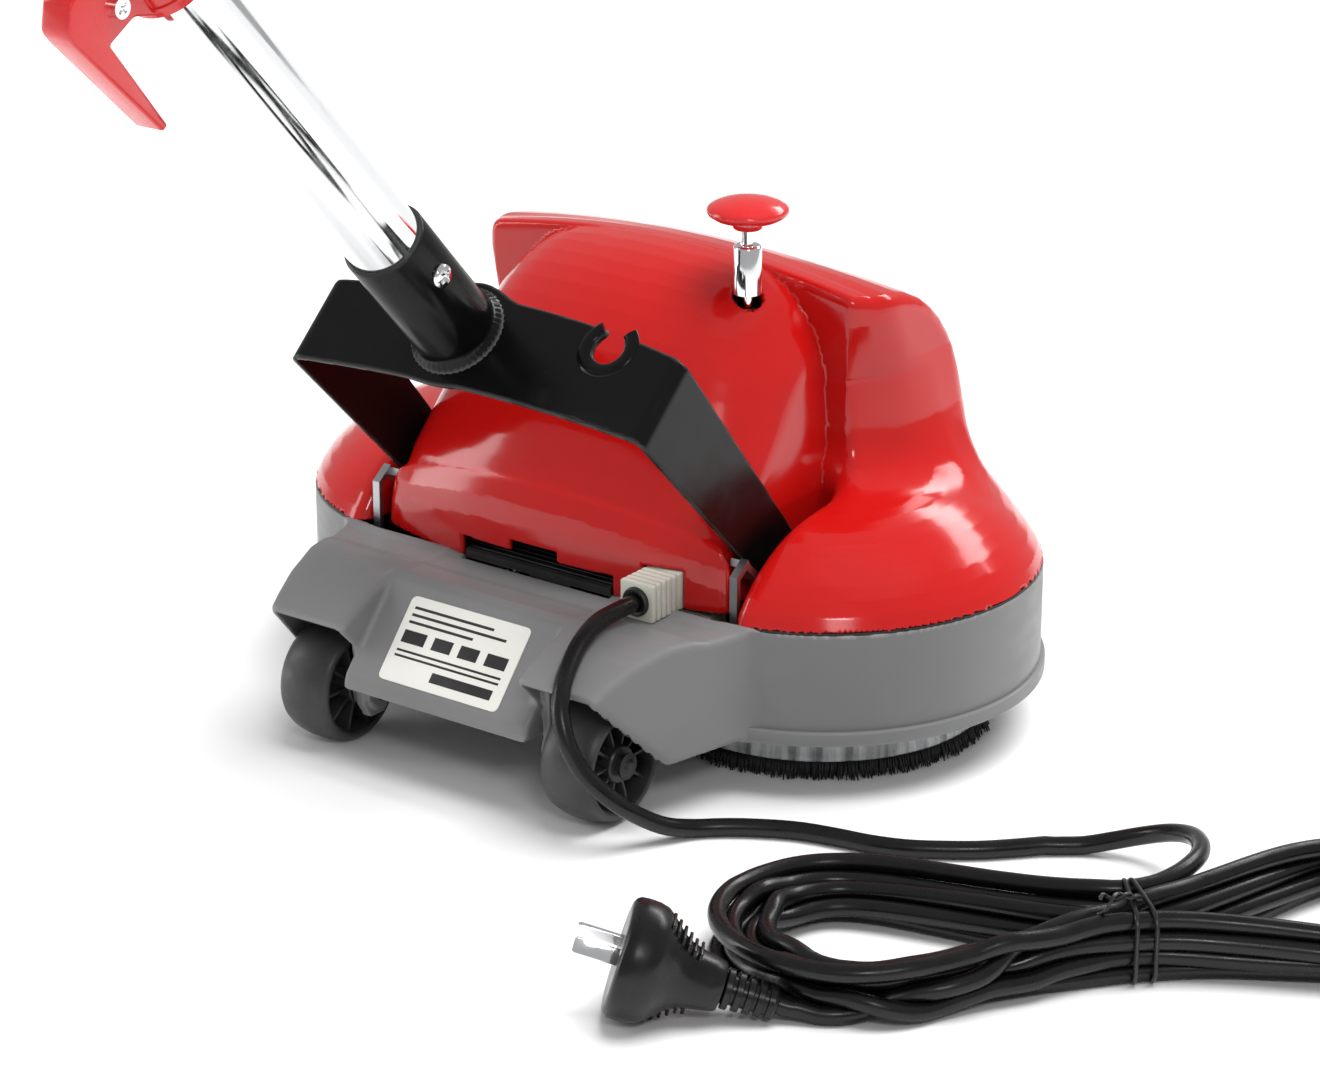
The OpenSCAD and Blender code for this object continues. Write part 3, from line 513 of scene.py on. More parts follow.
def skin(field, low, high, step):
    """Points, quads and normals of the surface where the field is 0, within a box.

    One point per cell that the surface crosses, then three steps down the field's slope.
    """
    axes = [np.arange(a - 1.5 * step, b + 2.5 * step, step) for a, b in zip(low, high)]
    grid = [a.reshape([-1 if i == k else 1 for i in range(3)]) for k, a in enumerate(axes)]
    shape = tuple(len(a) for a in axes)
    f = np.broadcast_to(field(*grid), shape)
    inside = f < 0
    full = np.zeros([n - 1 for n in shape], np.int8)
    for corner in np.ndindex(2, 2, 2):
        full += inside[tuple(slice(c, c + n - 1) for c, n in zip(corner, shape))]
    mixed = (full > 0) & (full < 8)
    number = np.full(full.shape, -1)
    number[mixed] = np.arange(mixed.sum())
    cells = np.argwhere(mixed)
    total, count = np.zeros((len(cells), 3)), np.zeros(len(cells))
    for axis in range(3):
        others = [k for k in range(3) if k != axis]
        for corner in np.ndindex(2, 2):
            a = cells.copy()
            a[:, others] += corner
            b = a.copy()
            b[:, axis] += 1
            fa, fb = f[tuple(a.T)], f[tuple(b.T)]
            cross = (fa < 0) != (fb < 0)
            p = a.astype(float)
            p[:, axis] += np.where(cross, fa / np.where(cross, fa - fb, 1), 0)
            total += p * cross[:, None]
            count += cross
    points = np.array([a[0] for a in axes]) + step * total / count[:, None]
    faces = []
    for axis in range(3):
        u, v = (axis + 1) % 3, (axis + 2) % 3
        near, far = [slice(1, n - 1) for n in shape], [slice(1, n - 1) for n in shape]
        near[axis], far[axis] = slice(0, shape[axis] - 1), slice(1, shape[axis])
        was, now = inside[tuple(near)], inside[tuple(far)]
        at = np.argwhere(was != now)
        leaving = was[tuple(at.T)]
        at[:, u] += 1
        at[:, v] += 1
        corners = []
        for du, dv in ((1, 1), (0, 1), (0, 0), (1, 0)):
            c = at.copy()
            c[:, u] -= du
            c[:, v] -= dv
            corners.append(number[tuple(c.T)])
        quads = np.stack(corners, -1)
        quads[~leaving] = quads[~leaving][:, ::-1]
        faces.append(quads)

    def slope(p):
        h = 0.25
        return np.stack([(field(*(p + d).T) - field(*(p - d).T)) / (2 * h) for d in np.eye(3) * h], -1)

    for _ in range(3):
        g = slope(points)
        move = -field(*points.T)[:, None] * g / np.maximum((g * g).sum(1), 0.2)[:, None]
        size = norm(move, axis=1)[:, None]
        points = points + move * np.minimum(1, 0.4 * step / np.maximum(size, 1e-9))
    normals = slope(points)
    return points, np.concatenate(faces), normals / np.maximum(norm(normals, axis=1), 1e-9)[:, None]


def as_rows(normals):
    """Handle frame directions in the axle frame."""
    return from_handle(normals) - from_handle([[0, 0, 0]])


# ---------- mains cord ----------

LEAD = [
    (62.85, 34.2, 81.7), (62.8, 28, 81.7), (62.5, 20, 81.5), (62, 11, 80.8), (62.6, 3, 79), (64, -6, 75.8),
    (67, -16, 71.5), (70, -24, 67), (74, -31, 60), (77.5, -34, 53), (81, -35, 46), (86, -33, 36),
    (91, -29, 28.5), (97, -22, 20), (102, -13, 12.5), (107, -4, 7), (113.5, 7, 4), (122, 15, 3.75),
    (134, 23, 3.75), (148, 30, 3.75), (163, 34, 3.75), (178, 37, 3.75), (192, 42, 3.75), (205, 50, 3.75),
    (217, 59, 3.75), (227, 69, 3.75), (240, 82, 4.5), (254, 91.5, 8), (269, 96, 14), (284, 94.5, 20.5),
    (298, 86.5, 26), (309, 74, 29), (315, 59, 30),
]
LOBE_LEFT, WAIST, LOBE_RIGHT = np.array([233.0, -46]), np.array([315.0, 13]), np.array([371.5, 88.0])
HANK_ALONG = (LOBE_RIGHT - LOBE_LEFT) / norm(LOBE_RIGHT - LOBE_LEFT)
HANK_ACROSS = np.array([-HANK_ALONG[1], HANK_ALONG[0]])
# Where the outer and inner turns cross the waist, sideways from its middle, and the height of a layer
COLUMNS, LAYER = (12, 4), 7.7
# Each turn's layer at the waist, and the half length and half width of its two loops
LAYERS = (3, 2, 1, 0, 0, 1, 2, 3)
LEFT_LOOPS = ((58, 53), (54, 48), (51, 52), (59, 46), (45, 39), (47, 36), (42, 40))
RIGHT_LOOPS = ((49, 48), (53, 52), (49, 47), (44, 41), (40, 37), (43, 41), (41, 36))
SETTLING_STEPS, DROP = 50, 0.06
SPACING, FREE_LEAD = 4.6, 22
# Reach in points, the least radius of a bend over it, and how stiffly the cord resists a tighter one
BENDS = ((1, 26, 0.5), (3, 26, 0.35), (6, 30, 0.12))
TIE_REACH, TIE_HALF, TIE_SIDE = 9, 17, 30
HANK_TOP = 34
PLUG_FACE, PLUG_TURN, PLUG_DROP = np.array([181.5, -135.8, 25.2]), math.radians(32), math.radians(16.9)
PLUG_LENGTH = 62
level, drop = math.cos(PLUG_DROP), math.sin(PLUG_DROP)
forward = np.array([math.cos(PLUG_TURN), math.sin(PLUG_TURN)])
PLUG_AXES = [[*(level * forward), -drop], [-forward[1], forward[0], 0], [*(drop * forward), level]]


def hank_route():
    """The lead, then an oval coil gathered at its waist, then the end at the plug.

    Outer turns go down layer by layer and inner turns come back up, so each strand has its own place in the
    waist.
    """
    route = list(LEAD)
    for turn, (left, right) in enumerate(zip(LEFT_LOOPS, RIGHT_LOOPS)):
        side, start = COLUMNS[turn > 3], LAYERS[turn]
        for centre, (longer, wider), toward, layer in ((LOBE_LEFT, left, -1, start),
                                                       (LOBE_RIGHT, right, 1, LAYERS[turn + 1])):
            spot = WAIST - toward * side * HANK_ACROSS + rng.uniform(-1, 1) * HANK_ACROSS
            route.append([*spot, CORD_R + LAYER * start])
            for k, phi in enumerate(np.radians(np.linspace(-82, 82, 7))):
                x, y = longer * math.cos(phi), wider * math.sin(phi)
                spot = centre + 3 * HANK_ACROSS + toward * (x * HANK_ALONG + y * HANK_ACROSS)
                height = CORD_R + LAYER * 0.8 * (start + (layer - start) * k / 6)
                route.append([*spot, height + 1.5 * math.sin(phi + turn)])
    end = turned([[PLUG_LENGTH, 0, 0]], PLUG_AXES, PLUG_FACE)[0]
    for spot, height in ((WAIST + 3 * HANK_ACROSS, CORD_R + 3 * LAYER),
                         (WAIST - 45 * HANK_ALONG - 16 * HANK_ACROSS, 23),
                         (LOBE_LEFT + 24 * HANK_ALONG - 45 * HANK_ACROSS, 13),
                         (end[:2] + 22 * forward, 6.5), (end[:2] + 6 * forward, 5.6)):
        route.append([*spot, height])
    return [*route, end]


def ease_bends(p, free, gap):
    for reach, least, stiff in BENDS:
        middle = (p[:-2 * reach] + p[2 * reach:]) / 2 - p[reach:-reach]
        size = norm(middle, axis=1)[:, None]
        spare = (reach * gap) ** 2 / (2 * least)
        share = np.clip(1 - spare / np.maximum(size, 1e-6), 0.02, 1) * stiff
        p[reach:-reach] += middle * share * free[reach:-reach]


def push_apart(p, free, pairs):
    thick = 2 * CORD_R + 0.1
    for _ in range(3):
        d = p[pairs[1]] - p[pairs[0]]
        size = norm(d, axis=1)
        hit = size < thick
        a, b = pairs[0][hit], pairs[1][hit]
        push = d[hit] / np.maximum(size[hit], 1e-6)[:, None] * (thick - size[hit])[:, None] * 0.35
        np.add.at(p, a, -push * free[a])
        np.add.at(p, b, push * free[b])
        p[:, 2] = np.where(free[:, 0], np.clip(p[:, 2], CORD_R, HANK_TOP), p[:, 2])


def clear_plug(p, free):
    """Keeps the strands off the plug, taken as a row of balls, but for the cord's own last points."""
    places = np.arange(0, 56, 4)
    sizes = np.interp(places, [0, 14, 19, 25, 35, 60], [24, 22, 17, 12.5, 10, 7.6]) + CORD_R
    for spot, size in zip(turned([[place, 0, 0] for place in places], PLUG_AXES, PLUG_FACE), sizes):
        d = p[:-8] - spot
        far = norm(d, axis=1)
        hit = (far < size) & free[:-8, 0]
        p[:-8][hit] += d[hit] / far[hit][:, None] * (size - far[hit])[:, None]


def hold_waist(p, free):
    a, c = (p[:, :2] - WAIST) @ HANK_ALONG, (p[:, :2] - WAIST) @ HANK_ACROSS
    held = (np.abs(a) < TIE_REACH) & (np.abs(c) < TIE_SIDE) & free[:, 0]
    limit = TIE_HALF + 0.2 * np.abs(a)
    p[:, :2] += ((np.clip(c, -limit, limit) - c) * held * 0.5)[:, None] * HANK_ACROSS


def packed_cord():
    """Settles the route: strands push each other apart, bends ease, and the tie holds the waist."""
    p = smooth_line(hank_route(), spacing=SPACING)
    gap = norm(np.diff(p, axis=0), axis=1).mean()
    lead_length = norm(np.diff(LEAD, axis=0), axis=1).sum()
    free = np.ones((len(p), 1), bool)
    free[:int(lead_length / gap) - FREE_LEAD] = False
    free[-3:] = False
    i, j = np.triu_indices(len(p), 6)
    for step in range(SETTLING_STEPS):
        if step % 15 == 0:
            far = norm(p[i] - p[j], axis=1)
            pairs = i[far < 15], j[far < 15]
        p[:, 2] -= DROP * free[:, 0]
        ease_bends(p, free, gap)
        push_apart(p, free, pairs)
        clear_plug(p, free)
        hold_waist(p, free)
    return p


cord_line = smooth_line(packed_cord(), spacing=4.0)
cord_line[:, 2] = np.maximum(cord_line[:, 2], CORD_R)
points, faces = tube(cord_line, CORD_R, 16)
cord = add_piece("mains_cord", points, faces, "cord_rubber", "chassis", ("cord_lead", "cord_hank"))

# The plug: a round moulded body, a finger grip and a ribbed relief
profile = [
    (0, 0.6), (12, 0.3), (18.5, 0), (20.6, 0.3), (22, 1.1), (23, 2.6), (23.3, 6), (23.1, 10), (22.3, 13.4),
    (20.4, 16.2), (17.4, 19.2), (14.6, 22.4), (12.6, 26), (11.3, 31), (10.4, 36), (9.7, 39.4), (8.9, 40.4),
    (6.4, 40.6),
]
for k in range(5):
    start, r = 41.2 + 4.2 * k, 7.9 - 0.35 * k
    profile += [(5.6, start), (r - 0.4, start), (r, start + 0.4), (r, start + 2.4), (r - 0.4, start + 2.8),
                (5.6, start + 2.8)]
profile += [(5.3, PLUG_LENGTH - 0.4), (4.3, PLUG_LENGTH), (0, PLUG_LENGTH)]
plug_points, plug_faces = lathe(profile, 72, ALONG_X)
bumps = []
for k in range(6):
    x = 15.5 + 2.6 * k
    r = float(np.interp(x, [13, 19, 26, 36], [22, 17.8, 12.8, 10.6]))
    bumps.append(block((x, -5.5, -r - 0.7), (x + 1.3, 5.5, r + 0.7), 0.5, 0.4))
plug_points, plug_faces = joined([(plug_points, plug_faces), *bumps])
plug = add_piece("plug", turned(plug_points, PLUG_AXES, PLUG_FACE), plug_faces, "cord_rubber", "chassis",
                 ("plug_body",), sharp=40)
blades = []
for side in (-1, 1):
    turn = math.radians(30 * side)
    outline = rounded([(-17, -3.15), (0.5, -3.15), (0.5, 3.15), (-17, 3.15)], [1.6, 0, 0, 1.6], 5)
    points, faces = slab(outline, -0.8, 0.8, 0.3)
    axes = [[1, 0, 0], [0, math.sin(turn), -math.cos(turn)], [0, math.cos(turn), math.sin(turn)]]
    blades.append((turned(points, axes, (0, 7 * side, 2.5)), faces))
points, faces = joined(blades)
blade_piece = add_piece("plug_pins", turned(points, PLUG_AXES, PLUG_FACE), faces, "chrome", "chassis",
                        ("plug_blades",))

# The twist tie: two turns of wire round the waist, and its twisted ends
at_waist = cord_line[(np.abs((cord_line[:, :2] - WAIST) @ HANK_ALONG) < 4)
                     & (np.abs((cord_line[:, :2] - WAIST) @ HANK_ACROSS) < 24)]
lateral = (at_waist[:, :2] - WAIST) @ HANK_ACROSS
left_edge, right_edge = lateral.min() - CORD_R - 0.6, lateral.max() + CORD_R + 0.6
tie_top = at_waist[:, 2].max() + CORD_R + 0.6
tie_parts = []
for shift, slant in ((-3.2, 1.6), (1.8, -1.2)):
    loop = rounded([(left_edge, 0.7), (right_edge, 0.7), (right_edge, tie_top), (left_edge, tie_top)], 8, 6)
    loop = np.vstack([loop, loop[:1]])
    ring = [[*(WAIST + (shift + slant * c / 20) * HANK_ALONG + c * HANK_ACROSS), z] for c, z in loop]
    tie_parts.append(tube(smooth_line(ring, count=90), 0.9, 8))
top = np.array([*(WAIST - 4 * HANK_ACROSS), tie_top])
for phase in (0, math.pi):
    twist = []
    for t in np.linspace(0, 1, 60):  # from the waist to the parted ends
        spread = 1.0 + 14 * max(0, t - 0.62) ** 1.3
        a = phase + 15 * t * (1 - 0.25 * t)
        centre = top + np.array([*(-18 * t * HANK_ALONG - 8 * t * HANK_ACROSS), 0.6 + 4 * math.sin(2.6 * t)])
        twist.append(centre + spread * np.array([*(math.cos(a) * HANK_ACROSS), math.sin(a) * 0.8]))
    tie_parts.append(tube(twist, 0.8, 8))
points, faces = joined(tie_parts)
points[:, 2] = np.maximum(points[:, 2], 0.05)
tie = add_piece("hank_tie", points, faces, "tie_plastic", "chassis", ("cord_tie",))

cord_length = norm(np.diff(cord_line, axis=0), axis=1).sum() / 1000


# ---------- red cover ----------

# The body's side view, its half width at each height, rear and front, the front dome from above, and a lobe's
# section outward from its brush's axis
REAR_CURVE = smooth_line([
    (46, 60), (46, 74), (46.4, 100), (56, 128), (70, 155), (84, 176), (100, 189), (120, 197), (140, 199.5),
    (160, 197), (180, 189), (196, 176), (206, 160), (216, 132), (224, 108), (231, 90), (236, 74), (238, 60),
], spacing=9)
REAR_WIDTH = np.array([
    (74.5, 92.5), (95, 91), (103, 88), (108, 86.4), (140, 83), (165, 80), (180, 77.5), (195, 75.5),
])
FRONT_WIDTH = np.array([(74.5, 130), (100, 124), (112, 118), (132, 111), (158, 106), (176, 105), (200, 104)])
FRONT_PLAN = rounded([(-20, 130), (100, 130), (104, 139), (113, 160), (122.5, 185), (121, 205), (106, 219),
                      (80, 226), (-20, 228)], [0, 0, 10, 20, 16, 14, 14, 14, 0], 4)
LOBE = smooth_line([
    (-30, 110), (0, 110), (30, 109.5), (50, 107), (65, 102), (78, 94), (86, 87), (91.5, 80), (94.5, 74.5),
    (94.8, 60),
], spacing=7)
LOBE = np.vstack([LOBE, [(-30, 60)]])
COVER_WALL, COVER_CELL = 3.2, 1.6


def from_brushes(x, y):
    """Distance from the line that joins the two brushes' axes; x isn't negative."""
    return np.hypot(np.maximum(x - BRUSH_X, 0), y - BRUSH_Y)


def cover_body(x, y, z):
    """The cover's outside: rear dome with its corner wings, wider front dome, and lobes over the brushes."""
    x = np.abs(x)
    lean = np.interp(z, [96, 110, 125, 140, 165], [10.6, 11.5, 15, 18, 20]) * (x / 80) ** 2
    y_bowed = y + lean * np.tanh((y - 140) / 20)
    side = outline_field(y_bowed, z + x * x / 680, REAR_CURVE)
    width = np.interp(z, REAR_WIDTH[:, 0], REAR_WIDTH[:, 1])
    rear = smax(side, x - np.minimum(width, 86.4), np.interp(z, [90, 130, 170], [9, 22, 34]))
    wing = smax(smax(side, x - width, 7), np.maximum(y - 64, (z - 103.2 + 0.983 * (y - 60.5)) * 0.713), 3)
    rear = smin(rear, wing, 2)
    side = outline_field(y, z + x * x / np.interp(y, [150, 185], [1000, 1700]), REAR_CURVE)
    wide = x - np.interp(z, FRONT_WIDTH[:, 0], FRONT_WIDTH[:, 1])
    taper = np.interp(z, [84, 104, 128, 153, 178, 200], [1, 4.5, 6, 8.5, 2, 0])
    taper = taper + np.interp(z, [120, 150, 190], [0, 3, 7]) * np.interp(y, [139, 168], [1, 0])
    front = smax(smax(side, wide, 6), outline_field(x, y, FRONT_PLAN) + taper, 6)
    front = smax(front, 139 - y, 4)
    lobe = outline_field(from_brushes(x, y), z, LOBE)
    lobe = smax(lobe, -smax(x - 97.5, y - 138, 6), 9)
    return np.minimum(rear, smin(front, lobe, 24))


def cover_field(x, y, z):
    """The shell, with its cuts for the pedal, the cord grip and the knob's bush."""
    body = cover_body(x, y, z)
    shell = smax(body, -(body + COVER_WALL), 0.8)
    pedal = np.minimum(np.maximum(np.abs(x) - 40, z - 83), np.maximum(np.abs(x) - 12.4, z - 88))
    grip = np.maximum(np.abs(x - GRIP_AT[0]) - 8.7, z - GRIP_AT[2] - 8.7)
    bush = np.maximum(np.hypot(x - KNOB[0], y - KNOB[1]) - 6.1, 150 - z)
    cuts = np.minimum(np.maximum(np.minimum(pedal, grip), y - 60), bush)
    return smax(smax(shell, -cuts, 1.2), SPLIT_Z + 0.4 - z, 0.6)


points, faces, normals = skin(cover_field, (-178, 40, 73), (178, 240, 202), COVER_CELL)
add_piece("red_cover", points, faces, "red_gloss", "chassis", ("top_cover",), normals=normals)


# ---------- grey base ----------

PANEL_SIDE = rounded([(50, SPLIT_Z), (33, SPLIT_Z), (26, 75.6), (14, 76.5), (9, 75), (-20.5, 41), (-22, 37),
                      (-22, 34), (50, 34)], [0, 6, 6, 5, 5, 3, 2, 1, 0], 4)
PANEL_INSIDE = [(60, 71), (33, 71), (25, 73.1), (15, 73.8), (10, 72), (-17.5, 40.5), (-19.4, 36), (-19.4, 20),
                (60, 20)]
HOOD_SIDE = rounded([(54, SPLIT_Z), (33, SPLIT_Z), (26, 75.6), (14, 76.3), (-5, 72.3), (-17, 67), (-24, 63),
                     (-24, 60), (12, 24), (54, 25)], [0, 6, 6, 8, 10, 10, 3, 2, 8, 0], 4)
HOOD_INSIDE = [(54, 70.4), (33, 70.4), (25, 72.4), (14, 73), (-5, 69), (-17, 63.8), (-26, 59.3), (-40, 59.3),
               (-40, 10), (54, 10)]
HOOD_PLAN = [(46, -30), (84.4, -30), (86, -24), (107.5, 53.5), (80, 56), (46, 56)]
HOOD_PLAN_INSIDE = [(49, -80), (67.6, -80), (82.7, -24), (104.2, 53.5), (80, 56), (49, 56)]
LEG = [(-12, 62), (-9, 22), (-5, 15), (5, 15), (9, 22), (14, 62)]
SKIRT_R, SKIRT_LOW, SKIRT_WALL, BASE_CELL = 94.5, 25, 2.5, 1.4


def base_field(x, y, z):
    """The skirt, wheel hoods and rear panel, hollow below, with a deck, wheel legs and the pedal's gap."""
    x = np.abs(x)
    ring = from_brushes(x, y) - SKIRT_R
    skirt = np.maximum(smax(ring, z - SPLIT_Z, 0.8), SKIRT_LOW - z)
    hood = smax(outline_field(y, z, HOOD_SIDE), outline_field(x, y, HOOD_PLAN), 3.5)
    panel = smax(outline_field(y, z, PANEL_SIDE), x - 48.5, 2.5)
    outer = smin(smin(skirt, hood, 5), panel, 3)
    hollow = np.minimum(ring + SKIRT_WALL, np.maximum(outline_field(y, z, PANEL_INSIDE), x - 46))
    hood_hollow = np.maximum(outline_field(y, z, HOOD_INSIDE), outline_field(x, y, HOOD_PLAN_INSIDE))
    hollow = np.minimum(hollow, hood_hollow)
    shell = smax(outer, -hollow, 0.6)
    deck = np.maximum(np.abs(z - 40) - 2, ring + 1)
    leg = smax(outline_field(y, z, LEG), np.abs(x - 50.3) - 2.3, 1)
    hub = np.maximum(np.hypot(y, z - AXLE_Z) - 8, np.abs(x - 50.5) - 5)
    pedal = np.maximum(np.maximum(x - 39.5, np.abs(y - 54) - 7), 69.5 - z)
    return smax(np.minimum(np.minimum(shell, deck), smin(leg, hub, 2)), -pedal, 0.8)


points, faces, normals = skin(base_field, (-176, -31, 14), (176, 239, 77), BASE_CELL)
add_piece("grey_base", points, faces, "grey_plastic", "chassis", ("base_housing",), normals=normals)


def band(profile):
    """A closed (radius, height) profile swept round both brushes."""
    a = np.linspace(-math.pi / 2, math.pi / 2, 64)
    rows = []
    for radius, height in profile:
        right = np.column_stack([BRUSH_X + radius * np.cos(a), BRUSH_Y + radius * np.sin(a)])
        left = right[::-1] * [-1, 1]
        rows.append(np.column_stack([np.vstack([right, left]), np.full(2 * len(a), height)]))
    return np.concatenate(rows), strips(len(rows), len(rows[0]), closed=True)


lip = [(93.4, 24.9), (95.9, 24.9), (96.4, 25.3), (96.5, 26), (96.5, 30.2), (96.2, 30.9), (95.6, 31.1),
       (94.4, 31.1), (93.4, 31.1)]
add_piece("base_lip", *band(lip), "grey_plastic", "chassis", sharp=50)
gasket = [(92, 73.2), (94.1, 73.2), (94.1, 74.3), (92, 74.3)]
add_piece("cover_gasket", *band(gasket), "black_rubber", "chassis", ("cover_seal",))

label_turn = math.radians(49.1)
LABEL_AT = (0, -6.8, 56.8)
LABEL_AXES = [[1, 0, 0], [0, math.cos(label_turn), math.sin(label_turn)],
              [0, -math.sin(label_turn), math.cos(label_turn)]]
points, faces = slab(rounded([(-31.5, -19), (31.5, -19), (31.5, 19), (-31.5, 19)], 3, 6), -0.5, 0.45, 0.2)
add_piece("blank_label", turned(points, LABEL_AXES, LABEL_AT), faces, "label_film", "chassis",
          ("rating_label",))

# Plain bars in place of print: left, right, low and high edges
bars = []
for x0, x1, y0, y1 in (
    (-28, 14, 13.4, 14.6), (-28, 22, 10.2, 11.4), (-28, 6, 7, 8.2), (-28, -16, -1.6, 4), (-12, -2, -1.6, 4),
    (2, 12, -1.6, 4), (16, 27, -1.6, 4), (-28, 27, -5.6, -4.6), (-28, 27, -8, -7), (-6, 26, -15, -10.6),
):
    bars.append(slab([(x0, y0), (x1, y0), (x1, y1), (x0, y1)], 0.4, 0.5, 0.02))
points, faces = joined(bars)
add_piece("label_marks", turned(points, LABEL_AXES, LABEL_AT), faces, "black_rubber", "chassis")

# Cord grip: thick cream ribs on a core, a block in the cover's wall, and a funnel for the cord
ribs = []
ALONG_Y = [[0, 0, 1], [1, 0, 0], [0, 1, 0]]
for k in range(6):
    start = 34.3 + 3.5 * k
    ribs.append(block((-8.1, -8.3, start), (8.3, 8.3, start + 2.5), 1.2, 0.45, ALONG_Y, GRIP_AT))
ribs.append(block((-7.4, -7.3, 35), (7.4, 7.3, 60), 1.0, 0.4, ALONG_Y, GRIP_AT))
ribs.append(block((-7.9, -8.5, 52.6), (8.5, 8.5, 62), 1.0, 0.4, ALONG_Y, GRIP_AT))
points, faces = joined(ribs)
add_piece("ribbed_grip", points, faces, "cream_plastic", "chassis", ("cord_grip",))
collar = [(3.9, 33.2), (4.6, 32.6), (5.6, 32.4), (6.2, 33.0), (6.4, 34.6), (3.9, 35.6)]
add_piece("grip_mouth", *lathe(collar, 40, ALONG_Y, GRIP_AT), "black_plastic", "chassis")


# ---------- brushes ----------

# Rings of fibres: radius, spacing and how far they splay
RINGS = [(71.6, 1.15, 5.0), (70.2, 1.3, 4.6), (68.4, 1.5, 4.2), (66, 1.9, 3.8), (62, 2.4, 3), (56, 3, 2.5),
         (49, 3.4, 2), (42, 3.8, 2), (35, 4, 1)]
FIBRE_TOP = 8.6


def tufts():
    """Tapered three-sided fibres in rings, splayed outward and a little untidy."""
    starts, ends = [], []
    for radius, spacing, spread in RINGS:
        n = int(2 * math.pi * radius / spacing)
        a = np.linspace(0, 2 * math.pi, n, endpoint=False) + rng.normal(0, 0.25 / n, n)
        clump = 0.5 * np.sin(17 * a + radius) + 0.5 * np.sin(29 * a + 2 * radius)
        out = radius + spread * (0.55 + 0.25 * clump) + rng.normal(0, 0.5, n)
        sway = a + (0.8 * clump + rng.normal(0, 0.55, n)) / radius
        starts.append(np.stack([radius * np.cos(a), radius * np.sin(a), np.full(n, FIBRE_TOP)], -1))
        out = np.minimum(out, BRUSH_R - 0.4)
        ends.append(np.stack([out * np.cos(sway), out * np.sin(sway), rng.uniform(0.03, 1.3, n)], -1))
    starts, ends = np.concatenate(starts), np.concatenate(ends)
    a = np.radians([0, 120, 240])
    tri = np.stack([np.cos(a), np.sin(a), np.zeros(3)], -1)
    middle = (starts + ends) / 2 + np.array([0, 0, 0.4])
    points = np.concatenate([(c[:, None] + w * tri).reshape(-1, 3)
                             for c, w in ((starts, 0.62), (middle, 0.55), (ends, 0.3))])
    n = len(starts)
    base = 3 * np.arange(n)[:, None]
    faces = []
    for low in (0, 3 * n):
        for k in range(3):
            start = low + base
            m = (k + 1) % 3
            faces += np.hstack([start + m, start + k, start + 3 * n + k, start + 3 * n + m]).tolist()
    faces += (6 * n + base + [0, 2, 1]).tolist() + (base + [0, 1, 2]).tolist()
    return points, faces


block_profile = [
    (28, 7.6), (70, 7.6), (72.3, 7.8), (72.9, 8.6), (72.9, 10.5), (72.6, 11.4), (72.6, 15.6), (72.9, 16.4),
    (72.8, 21.8), (72.2, 22.8), (70.2, 22.9), (69.4, 22.2), (69.3, 16.4), (15, 16), (15, 29.6), (12, 30),
    (9.1, 30), (9.1, 12), (28, 9),
]
for side, name in ((1, "right"), (-1, "left")):
    middle = (side * BRUSH_X, BRUSH_Y, 0)
    points, faces = lathe(block_profile, 144, AS_DRAWN, middle)
    add_piece(name + "_block", points, faces, "block_plastic", name + "_brush", (name + "_brush_block",))
    points, faces = tufts()
    add_piece(name + "_tufts", points + middle, faces, "bristle", name + "_brush", (name + "_bristles",),
              sharp=180)


# ---------- wheels ----------

def wheel_parts():
    """A moulded wheel about X, its outer side towards +X: barrel tread, dished web, hub and thin ribs."""
    tread = [(26.0, 0), (25.9, 3.2), (25.4, 6.6), (24.6, 9.8), (23.8, 11.6), (22.8, 12.7), (21.4, 13),
             (20.6, 12.6), (20.2, 11.6), (19.8, 2.6), (8, 2.2), (8, 10.6), (7.4, 11.4), (4.3, 11.4)]
    back = [(4.3, -12.9), (7.4, -12.9), (8, -12.4), (8, -1), (19.6, -1.2), (20.2, -11.6), (20.8, -12.7),
            (21.8, -13), (23.0, -12.6), (24, -11.4), (24.8, -9.2), (25.5, -6.2), (25.9, -3.2)]
    parts = [lathe(back + tread, 96, ALONG_X)]
    for k in range(10):
        a = math.radians(36 * k)
        turn = [[0, math.cos(a), math.sin(a)], [0, -math.sin(a), math.cos(a)], [1, 0, 0]]
        parts.append(block((7.5, -0.65, 1.5), (20.3, 0.65, 9.6), 0.3, 0.3, turn))
        parts.append(block((7.5, -0.65, -10.6), (20.3, 0.65, -0.5), 0.3, 0.3, turn))
    return joined(parts)


def mirrored(points, faces):
    """The same part on the machine's other side."""
    return points * [-1, 1, 1], [face[::-1] for face in faces]


wheel = wheel_parts()
for side, name in ((1, "right"), (-1, "left")):
    points, faces = wheel if side > 0 else mirrored(*wheel)
    add_piece(name + "_tread_wheel", points + [side * WHEEL_X, 0, AXLE_Z], faces, "wheel_plastic",
              name + "_wheel", (name + "_wheel",))
axle = [(0, 45), (4, 45), (4, 83.4), (5.6, 83.6), (5.7, 84.4), (3.2, 84.8), (2.2, 86), (0, 86.2)]
pin = lathe(axle, 48, ALONG_X)
points, faces = joined([pin, mirrored(*pin)])
add_piece("wheel_pins", points + [0, 0, AXLE_Z], faces, "black_rubber", "chassis", ("wheel_axles",))


# ---------- yoke and handle ----------

ARM = [(13 * math.cos(a), 13 * math.sin(a)) for a in np.linspace(math.pi, 2 * math.pi, 25)]
ARM += [(20.1, 133), (20.1, 140), (-19.2, 140), (-19.2, 133)]
YOKE_HALF, YOKE_TOP, STRAP, CORNER = 91.7, 136, 3, 6
NOTCH_X, NOTCH_B = 55, 18


